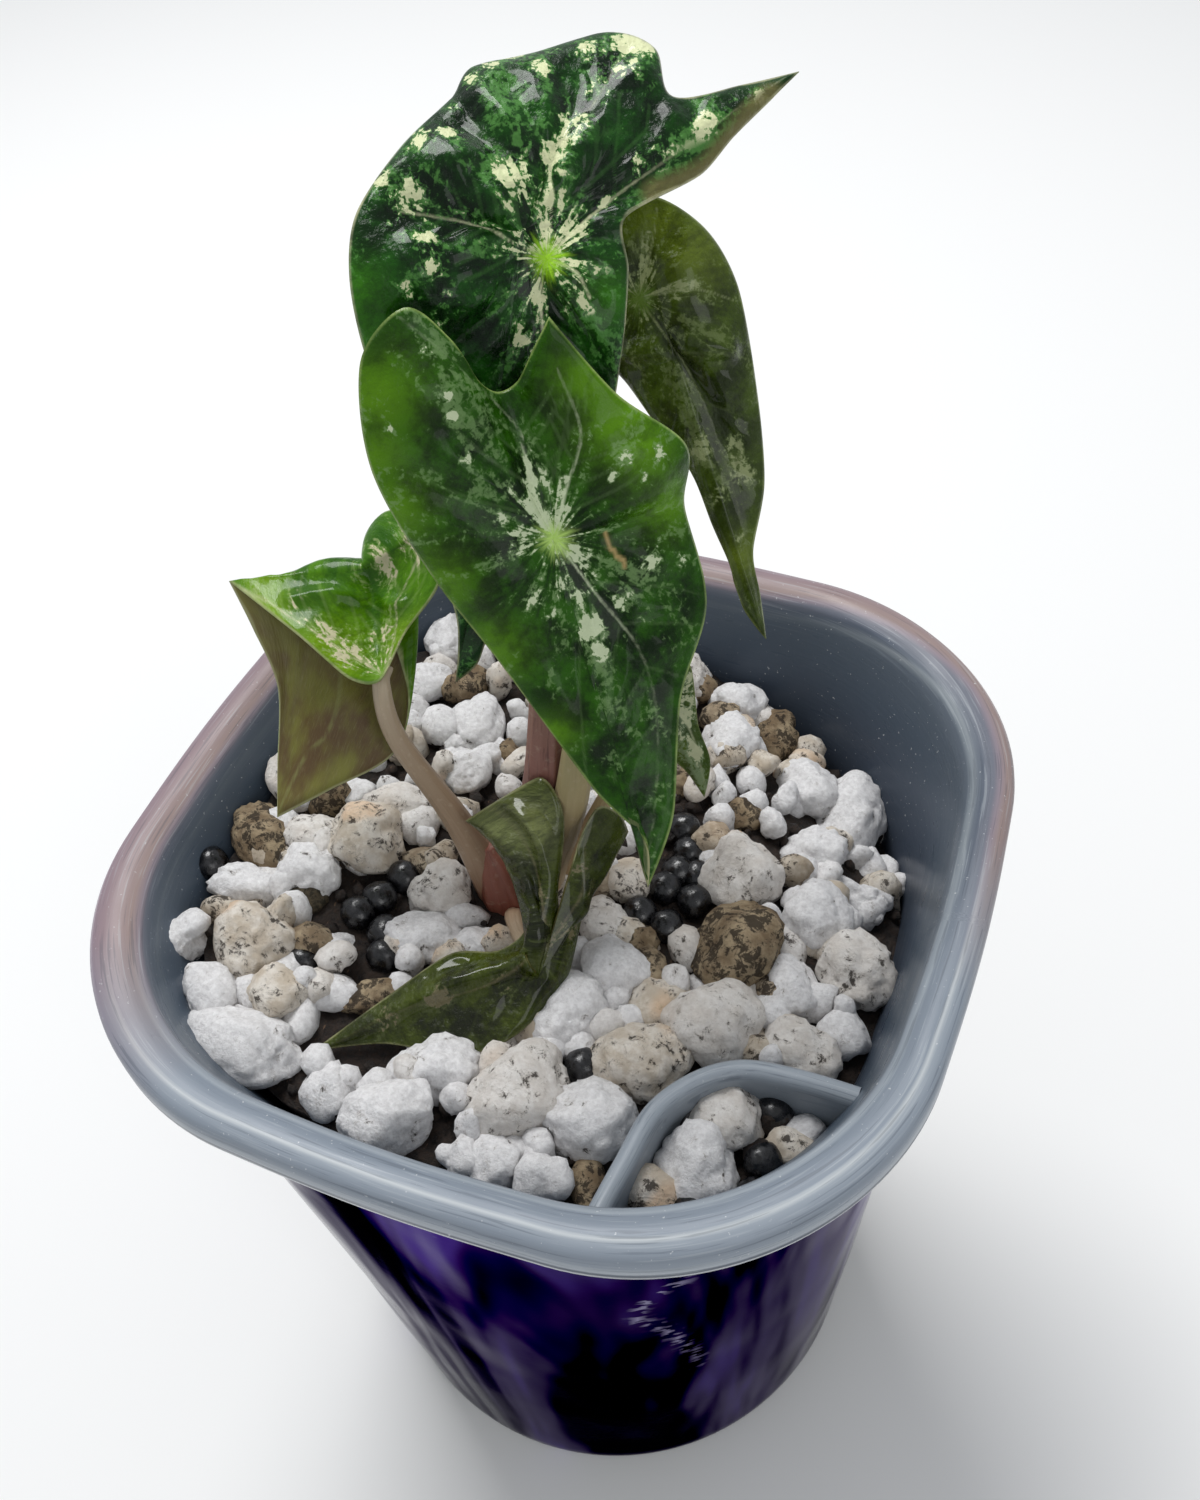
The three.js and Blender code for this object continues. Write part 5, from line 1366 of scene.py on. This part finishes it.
# %% Leaf material: the upper side
def leaf_upper(name, deep, bright, light, pale, patch, star_tint, amount, rim, gloss, scar="#b39a66",
               relief=1.0):
    """amount: share of cream flecks. relief: how deep the fine wrinkles look, in millimetres."""
    made, tree, shader = new_material(name)
    flat = add(tree, "ShaderNodeUVMap", uv_map="flat")
    vein, side, edge, star, mark, lit, scar_share = (
        add(tree, "ShaderNodeAttribute", attribute_name=key).outputs["Fac"]
        for key in ("vein", "side_vein", "edge", "star", "mark", "light", "scar"))
    rays = add(tree, "ShaderNodeAttribute", attribute_name="rays").outputs["Vector"]
    broad = add(tree, "ShaderNodeTexNoise", {
        "Vector": flat, "Scale": CENTIMETRE / 4.5455, "Detail": 5.0, "Roughness": 0.6})
    streak = add(tree, "ShaderNodeTexNoise", {
        "Vector": rays, "Scale": 0.8, "Detail": 6.0, "Roughness": 0.6, "Distortion": 0.3})
    cells = add(tree, "ShaderNodeTexNoise", {
        "Vector": flat, "Scale": CENTIMETRE / 0.66667, "Detail": 4.0, "Roughness": 0.6,
        "Distortion": 0.4})
    # deep green between the veins, bright green towards the margin and in the lit patches
    tone = weighted(tree, (broad, 0.55), (streak, 0.35), (cells, 0.1))
    green = paint(tree, deep, bright, tone, 0.42, 0.6)
    green = paint(tree, green, bright, edge, 0.2, 2.6, first=0.35, last=0.0)
    patchy = add(tree, "ShaderNodeMapRange", [tone, 0.38, 0.55, 0.45, 1.0], **SMOOTH)
    lit = add(tree, "ShaderNodeMath", [lit, patchy], operation="MULTIPLY")
    green = add(tree, "ShaderNodeMix", {0: lit, 6: green, 7: light}, **COLOURS)
    # ragged cream patches gather in the marks, along the veins and round the star
    jag = weighted(tree, (streak, 0.6), (cells, 0.4))
    jag = add(tree, "ShaderNodeMapRange", [jag, 0.38, 0.62], **SMOOTH)
    by_star = add(tree, "ShaderNodeMapRange", [star, 2.0, 16.0, 0.22, 0.05], **SMOOTH)
    near_vein = add(tree, "ShaderNodeMapRange", [vein, 0.0, 1.8, by_star, 0.0], **SMOOTH)
    near_star = add(tree, "ShaderNodeMapRange", [star, 1.0, 9.0, 0.14, 0.0], **SMOOTH)
    drive = weighted(tree, (jag, 0.7), (mark, 0.44), (near_vein, 1.0), (near_star, 1.0), (amount, 1.0))
    green = paint(tree, green, pale, drive, 0.58, 0.8, last=0.6)
    painted = paint(tree, green, patch, drive, 0.81, 0.86, last=0.92)
    # a pale line on each vein, ragged, and strongest near the star
    strength = add(tree, "ShaderNodeMapRange", [star, 3.0, 18.0, 0.85, 0.2], **SMOOTH)
    ragged = weighted(tree, (vein, 1.0), (cells, 0.35))
    painted = paint(tree, painted, patch, ragged, 0.12, 0.42, first=strength, last=0.0)
    painted = paint(tree, painted, pale, side, 0.06, 0.28, first=0.14, last=0.0)
    glow = weighted(tree, (star, 1.0), (streak, 5.0))
    painted = paint(tree, painted, star_tint, glow, 2.6, 4.8, first=1.0, last=0.0)
    painted = add(tree, "ShaderNodeMix", {0: scar_share, 6: painted, 7: scar}, **COLOURS)
    worn = add(tree, "ShaderNodeMapRange", [broad, 0.35, 0.65, 0.25, 0.9], **SMOOTH)
    painted = paint(tree, painted, rim, edge, 0.08, 0.34, first=worn, last=0.0)
    # wrinkles 2 mm apart under a waxy skin
    fine = add(tree, "ShaderNodeTexNoise", {
        "Vector": flat, "Scale": CENTIMETRE / 0.16667, "Detail": 3.0, "Roughness": 0.55})
    wrinkles = add(tree, "ShaderNodeTexNoise", {
        "Vector": flat, "Scale": CENTIMETRE / 2.0, "Detail": 4.0, "Roughness": 0.5})
    skin = add(tree, "ShaderNodeBump", {"Height": wrinkles, "Distance": relief * MM, "Strength": 0.6})
    skin = add(tree, "ShaderNodeBump", {
        "Height": fine, "Distance": 0.06 * MM, "Strength": 0.4, "Normal": skin})
    wax = add(tree, "ShaderNodeMapRange", [fine, 0.3, 0.7, 0.24, 0.36], **SMOOTH)
    plug(tree, shader, Base_Color=painted, Roughness=wax, Normal=skin, Coat_Weight=gloss,
         Coat_Roughness=0.08, Specular_IOR_Level=0.1)
    return made


# %% [markdown]
# The underside has no wax and less green: it is duller, olive to brown, with fine strokes along the
# blade. It is a material of its own, because a leaf that curls shows both sides at once.

# %% Leaf material: the underside
def leaf_lower(name, dull, warm):
    made, tree, shader = new_material(name)
    flat = add(tree, "ShaderNodeUVMap", uv_map="flat")
    vein, edge = (
        add(tree, "ShaderNodeAttribute", attribute_name=key).outputs["Fac"] for key in ("vein", "edge"))
    drawn = add(tree, "ShaderNodeMapping", {
        "Vector": flat, "Scale": (CENTIMETRE / 1.6667, CENTIMETRE / 0.22727, 1)})
    strokes = add(tree, "ShaderNodeTexNoise", {
        "Vector": drawn, "Scale": 1.0, "Detail": 5.0, "Roughness": 0.6})
    broad = add(tree, "ShaderNodeTexNoise", {
        "Vector": flat, "Scale": CENTIMETRE / 8.3333, "Detail": 3.0, "Roughness": 0.55})
    back = paint(tree, dull, warm, broad, 0.35, 0.65)
    back = paint(tree, back, "#9a9468", strokes, 0.5, 0.75, last=0.35)
    back = paint(tree, back, "#8f9455", vein, 0.1, 0.6, first=0.45, last=0.0)
    back = paint(tree, back, "#a8a779", edge, 0.1, 0.4, first=0.85, last=0.0)
    grooves = add(tree, "ShaderNodeBump", {"Height": strokes, "Distance": 0.3 * MM, "Strength": 0.5})
    plug(tree, shader, Base_Color=back, Roughness=0.42, Coat_Weight=0.12, Coat_Roughness=0.25,
         Normal=grooves, Specular_IOR_Level=0.4)
    return made


# %% [markdown]
# The leaves differ in age and in the light they get: the top one is dark and crisply marked, the
# left one yellow-green, the small one old and olive. The same two recipes serve them all, with
# colours of their own.

# %% The look of each leaf
LEAF_LOOKS = {
    "front": dict(deep="#0a2004", bright="#2a5a08", light="#58880e", pale="#7f9e66", patch="#ccd8b2",
                  star_tint="#b9dd72", amount=0.04, rim="#93a860", gloss=0.16),
    "top": dict(deep="#041a05", bright="#174a0c", light="#3a7d0c", pale="#5f9a4a", patch="#e4e7b8",
                star_tint="#a8e42c", amount=0.08, rim="#b9b993", gloss=0.28, scar="#6f6a40",
                relief=1.6),
    "back": dict(deep="#232f0a", bright="#445814", light="#647620", pale="#7a8956", patch="#96a070",
                 star_tint="#5f7a30", amount=0.03, rim="#8f9a62", gloss=0.4, relief=1.6),
    "left": dict(deep="#2c5a08", bright="#528508", light="#789c1c", pale="#9aac70", patch="#cfc8a6",
                 star_tint="#6f9a30", amount=-0.02, rim="#b5b888", gloss=0.25),
    "small": dict(deep="#171c04", bright="#3c4706", light="#6d7446", pale="#525a34", patch="#746c50",
                  star_tint="#4a5226", amount=-0.12, rim="#8a8a62", gloss=0.5, relief=3.0),
    "hidden": dict(deep="#2d401c", bright="#4f6322", light="#66783a", pale="#8a9b78", patch="#b9bd98",
                   star_tint="#66803c", amount=0.05, rim="#8c9560", gloss=0.2),
}
LEAF_BACKS = {
    "front": ("#33491d", "#4c5a26"), "top": ("#34451e", "#5f5434"), "back": ("#39451f", "#4e4a28"),
    "left": ("#7a7830", "#5e4826"), "small": ("#4a5016", "#57461e"), "hidden": ("#4a5220", "#5d5a28"),
}
LEAF_MATERIALS = {
    name: [leaf_upper(f"leaf_{name}_upper", **look), leaf_lower(f"leaf_{name}_lower", *LEAF_BACKS[name])]
    for name, look in LEAF_LOOKS.items()}
print("leaf materials:", sum(len(pair) for pair in LEAF_MATERIALS.values()))


# %% [markdown]
# A blade is thin but solid. Solidify could thicken it, but the two sides need materials of their
# own and the margin has to thin out, so both sides are worked out here. The blade swells between
# the veins, falls back along them, and lies flat at its margin.


# %% Normals, faces and scars of a blade
UP, DOWN = 0, 1  # the leaf's material slots: upper side and underside
EDGE_SHARE, EDGE_WIDTH = 0.35, 1.2  # share of the thickness at the margin, and how soon it is full
RAYS_ROUND, RAYS_OUT = 6, 5  # how finely noise changes round the star, and how slowly outwards


def grid_normals(grid):
    along = np.gradient(grid, axis=0)
    round_way = 0.5 * (np.roll(grid, -1, axis=1) - np.roll(grid, 1, axis=1))
    normals = np.cross(along, round_way)
    return normals / np.maximum(np.linalg.norm(normals, axis=2), 1e-9)[:, :, None]


def blade_faces(around, count):
    """Faces and material slots of the upper side, the underside, and the rim between them."""
    ids = 1 + np.arange(RINGS * around).reshape(RINGS, around)
    after = np.roll(ids, -1, axis=1)
    quads = np.stack([ids[:-1], ids[1:], after[1:], after[:-1]], axis=2).reshape(-1, 4)
    upper = [(0, a, b) for a, b in zip(ids[0], after[0])] + quads.tolist()
    lower = [tuple(count + c for c in reversed(face)) for face in upper]
    rim = [(a, a + count, b + count, b) for a, b in zip(ids[-1], after[-1])]
    return upper + lower + rim, [UP] * len(upper) + [DOWN] * len(lower) + [UP] * len(rim)


def scar_on(name, grid, plan_grid):
    plan = plan_grid.reshape(-1, 2)
    if name not in LEAF_SCARS:
        return np.zeros(len(plan))
    course, width = LEAF_SCARS[name]
    line = smooth_line(on_plan(smooth_line(course, 12), grid, plan_grid), 60)
    return np.clip(1.6 - nearest(plan, line) / width, 0, 0.92)


print("faces round a test blade:", len(blade_faces(8, 1 + 8 * RINGS)[0]))


# %% Make the leaves
def make_leaf(name, leaf):
    """Swell the blade, give it two sides, and store what its materials need on its points."""
    hub, grid = leaf_grid(leaf)
    plan_grid = unroll(hub, grid)
    plan, solid = plan_grid.reshape(-1, 2), grid.reshape(-1, 3)
    around = grid.shape[1]
    courses = [on_plan(line, grid, plan_grid) for line in LEAF_VEINS[name]]
    main, side = vein_lines(courses)
    to_main, to_side, to_edge = nearest(plan, main), nearest(plan, side), nearest(plan, plan_grid[-1])
    quilt = 1 - np.exp(-(np.minimum(to_main, to_side * 1.5) / QUILT_WIDTH) ** 2)
    fade = np.clip(to_edge / FLAT_MARGIN, 0, 1) ** 0.7
    ripple = np.array([noise.fractal(Vector((p[0] / 5, p[1] / 5, len(name))), 0.9, 2.0, 3) for p in plan])
    height = (leaf["swell"] * (quilt + 0.2 * ripple) + ridge_height(solid, LEAF_RIDGES[name])) * fade
    height *= np.clip(np.repeat(np.arange(1, RINGS + 1) / RINGS, around) * 4, 0, 1)
    normals = grid_normals(grid).reshape(-1, 3)
    skin = solid + normals * height[:, None]
    thin = LEAF_THICKNESS / 2 * np.clip(EDGE_SHARE + to_edge / EDGE_WIDTH, EDGE_SHARE, 1)
    centre_normal = normals[:around].mean(axis=0)
    centre_normal /= np.linalg.norm(centre_normal)
    upper = np.vstack([hub + centre_normal * LEAF_THICKNESS / 2, skin + normals * thin[:, None]])
    lower = np.vstack([hub - centre_normal * LEAF_THICKNESS / 2, skin - normals * thin[:, None]])
    faces, slots = blade_faces(around, len(upper))
    from_star = np.linalg.norm(plan - courses[0][0], axis=1)

    def both(values):
        return np.tile(np.concatenate([values[:1], values]), 2)

    uv = np.tile(np.vstack([[0, 0], plan]), (2, 1)) / CENTIMETRE
    values = {"vein": both(to_main), "side_vein": both(to_side), "edge": both(to_edge),
              "star": both(from_star), "mark": both(mark_share(LEAF_MARKS[name], grid, plan_grid)),
              "light": both(mark_share(LEAF_LIGHTS[name], grid, plan_grid)),
              "scar": both(scar_on(name, grid, plan_grid))}
    away = plan - courses[0][0]
    turn = np.arctan2(away[:, 1], away[:, 0])
    rays = np.stack([RAYS_ROUND * np.cos(turn), RAYS_ROUND * np.sin(turn), from_star / RAYS_OUT], axis=1)
    piece = make_piece(f"blade_{name}", np.vstack([upper, lower]), faces, LEAF_MATERIALS[name],
                       values, uv, slots, {"rays": np.tile(np.vstack([rays[:1], rays]), (2, 1))})
    dress(piece, "leaf", f"leaf_{name}")
    return piece


for name, leaf in LEAVES.items():
    piece = make_leaf(name, leaf)
    print(piece.name, len(piece.data.polygons), "faces")

# %% [markdown]
# ## Stalks, sheaths and crown
#
# A stalk is juicy and faintly ribbed, with fine streaks along it. Its lower part is the sheath that
# wraps the next one: maroon on the oldest, cream on the younger ones. A picture of a stalk could be
# wrapped round it, but one recipe with four colours for each stalk has no seam and no end. The
# attribute `along` says how far up the stalk a point lies.


# %% Stalk material
def stalk_material(name, foot, middle, top, streak, streak_share):
    made, tree, shader = new_material(name)
    along = add(tree, "ShaderNodeAttribute", attribute_name="along").outputs["Fac"]
    flat = add(tree, "ShaderNodeUVMap", uv_map="flat")
    drawn = add(tree, "ShaderNodeMapping", {
        "Vector": flat, "Scale": (CENTIMETRE / 0.38462, CENTIMETRE / 6.25, 1)})
    lines = add(tree, "ShaderNodeTexNoise", {
        "Vector": drawn, "Scale": 1.0, "Detail": 5.0, "Roughness": 0.65})
    mottle = add(tree, "ShaderNodeTexNoise", {
        "Vector": flat, "Scale": CENTIMETRE / 1.1111, "Detail": 4.0, "Roughness": 0.55})
    skin = paint(tree, foot, middle, along, 0.02, 0.32)
    skin = paint(tree, skin, top, along, 0.3, 0.95)
    strength = add(tree, "ShaderNodeMapRange", [along, 0.2, 0.6, streak_share, streak_share * 0.4],
                   **SMOOTH)
    skin = paint(tree, skin, streak, lines, 0.5, 0.68, last=strength)
    skin = paint(tree, skin, "#d8c7ae", mottle, 0.55, 0.75, last=0.25)
    ribbed = add(tree, "ShaderNodeBump", {"Height": lines, "Distance": 0.2 * MM, "Strength": 0.5})
    plug(tree, shader, Base_Color=skin, Roughness=0.4, Coat_Weight=0.15, Coat_Roughness=0.2,
         Normal=ribbed)
    return made


CREAM_STALK = stalk_material("cream_stalk", "#8a5440", "#a48a70", "#b5a68c", "#86694f", 0.35)
MAROON_STALK = stalk_material("maroon_sheath", "#7a4238", "#93605a", "#8e9a58", "#43191a", 0.85)
OLIVE_STALK = stalk_material("cream_olive_sheath", "#b08c68", "#b59f7b", "#9aa35f", "#8a6d4c", 0.4)
CROWN_SKIN = stalk_material("red_brown_crown", "#6a3a2c", "#8a4c3c", "#8c5544", "#3f1f1a", 0.7)
print("stalk materials made")

# %% [markdown]
# Every stalk follows the path of its solid. A curve with a bevel would give a round tube. This one
# tapers, is slightly flat, and has low ribs and, on the top one, the seam of its sheath. The crown
# is the same tube, short and thick, where all the sheaths meet.


# %% A tapering tube
RIBS, RIB_HEIGHT = 11, 0.018  # height as a share of the radius
MEAN_RADIUS = 2.0
SEAM_AT, SEAM_WIDTH = 5.2, 0.25  # radians round the stalk


def tube(path, radii, sides=66, rows=90, flatten=0.0, ridge=0.0):
    """A closed tube along a path. The radii are spread evenly over its length."""
    line = smooth_line(path, rows)
    sizes = smooth_line([[r] for r in radii], rows)[:, 0]
    along = np.gradient(line, axis=0)
    along /= np.linalg.norm(along, axis=1)[:, None]
    guide = np.array([1.0, 0.2, 0.0])
    first = guide - along * (along @ guide)[:, None]
    first /= np.linalg.norm(first, axis=1)[:, None]
    second = np.cross(along, first)
    angle = 2 * np.pi * np.arange(sides) / sides
    swell = 1 + flatten * np.cos(2 * angle) + ridge * np.exp(-((angle - SEAM_AT) / SEAM_WIDTH) ** 2)
    ribs = 1 + RIB_HEIGHT * np.cos(RIBS * angle)
    radius = sizes[:, None] * (swell * ribs)[None, :]
    points = (line[:, None, :] + first[:, None, :] * (radius * np.cos(angle))[:, :, None]
              + second[:, None, :] * (radius * np.sin(angle))[:, :, None])
    travelled = np.concatenate([[0], np.cumsum(np.linalg.norm(np.diff(line, axis=0), axis=1))])
    uv = np.stack(np.broadcast_arrays(
        angle[None, :] * MEAN_RADIUS / CENTIMETRE, travelled[:, None] / CENTIMETRE), axis=2)
    share = np.broadcast_to(np.linspace(0, 1, rows)[:, None], (rows, sides))
    faces = []
    for i in range(rows - 1):
        for k in range(sides):
            n = (k + 1) % sides
            faces.append((i * sides + k, i * sides + n, (i + 1) * sides + n, (i + 1) * sides + k))
    faces.append(list(reversed(range(sides))))
    faces.append([(rows - 1) * sides + k for k in range(sides)])
    return points.reshape(-1, 3), faces, {"along": share.ravel()}, uv.reshape(-1, 2)


print("faces of a test tube:", len(tube([(0, 0, 0), (0, 0, 9)], [1, 1])[1]))

# %% Make the stalks and the crown
STALKS = {
    "left": ([(-7, -5, 101), (-8.5, -5.5, 109), (-12, -5.5, 119.5), (-17, -6, 132), (-18.7, -4.1, 138.2),
              (-18.9, -1.9, 139.2)], [3.2, 2.4, 1.6, 1.2, 1.0, 0.7], CREAM_STALK),
    "top": ([(-4.5, -3.5, 101), (-3.5, -2.5, 112), (-0.5, -0.5, 128), (0.5, 6.5, 160), (0.8, 11, 176),
             (0.2, 14.2, 184.6)], [2.8, 2.8, 2.5, 1.5, 1.2, 1.0], MAROON_STALK),
    "front": ([(-3, -5, 101), (-0.5, -4, 112), (3.5, -2.5, 127), (5.5, 0, 148), (5.4, -3.4, 163.6)],
              [2.2, 2.1, 1.9, 1.2, 1.0], OLIVE_STALK),
    "back": ([(-4.5, -1.5, 101), (-2, 2, 112), (1.2, 8, 130.5), (0.8, 18, 156), (1.5, 24.8, 171.8)],
             [1.8, 1.6, 1.4, 1.0, 0.8], OLIVE_STALK),
    "small": ([(-4, -7.5, 102), (-3.5, -9.5, 107), (-1, -13, 108.5), (3, -16.4, 110.2)],
              [1.5, 1.2, 0.9, 0.8], CREAM_STALK),
    "hidden": ([(-2, -2.5, 102), (2, 1.5, 112), (7, 8, 124), (8.8, 11, 129)],
               [1.4, 1.1, 0.9, 0.8], OLIVE_STALK),
}
for name, (path, radii, skin) in STALKS.items():
    points, faces, values, uv = tube(path, radii, flatten=0.06, ridge=0.12 if name == "top" else 0.0)
    piece = make_piece(f"petiole_{name}", points, faces, [skin], values, uv)
    dress(piece, "stalk", f"stalk_{name}")

CROWN_PATH = [(-4.5, -4.5, 84), (-5, -4.5, 98), (-5.5, -5, 106), (-6.6, -5.2, 111), (-8, -5.3, 114.5)]
points, faces, values, uv = tube(CROWN_PATH, [2.6, 4.6, 4.3, 3.0, 0.9], sides=132, flatten=0.08, ridge=0.1)
crown = make_piece("crown_sheaths", points, faces, [CROWN_SKIN], values, uv)
dress(crown, "sheath", "crown")
print("stalks:", len(STALKS), "and a crown of", len(faces), "faces")

# %% [markdown]
# ## Floor and light
#
# The photograph has soft light from all round, brightest from above. A pale sky alone would give
# no shadows, and a sun too hard ones. So the sky is joined by two soft lamps, one overhead and a
# weak one to the side, over a plain pale floor.

# %% Floor, world and lamps
floor_material, tree, shader = new_material("plain_pale_floor")
plug(tree, shader, Base_Color="#f4f4f3", Roughness=0.8)
bpy.ops.mesh.primitive_plane_add(size=4)
floor = bpy.context.object
floor.name = "floor"
floor.data.materials.append(floor_material)

world = bpy.data.worlds.new("pale_studio")
world.use_nodes = True
world.node_tree.nodes["Background"].inputs["Color"].default_value = (0.93, 0.96, 1.0, 1)
world.node_tree.nodes["Background"].inputs["Strength"].default_value = 0.47
scene.world = world


def lamp(name, place, target, size, power):
    data = bpy.data.lights.new(name, "AREA")
    data.shape = "RECTANGLE"
    data.size, data.size_y = size
    data.energy = power
    made = bpy.data.objects.new(name, data)
    made.location = place
    made.rotation_euler = (Vector(target) - Vector(place)).to_track_quat("-Z", "Y").to_euler()
    scene.collection.objects.link(made)


lamp("overhead", (-0.3, 0.3, 0.9), (0, 0, 0.12), (0.45, 0.35), 6.5)
lamp("side", (0.7, -0.5, 0.6), (0, 0, 0.12), (0.4, 0.6), 1.5)
print("floor, world and lamps made")
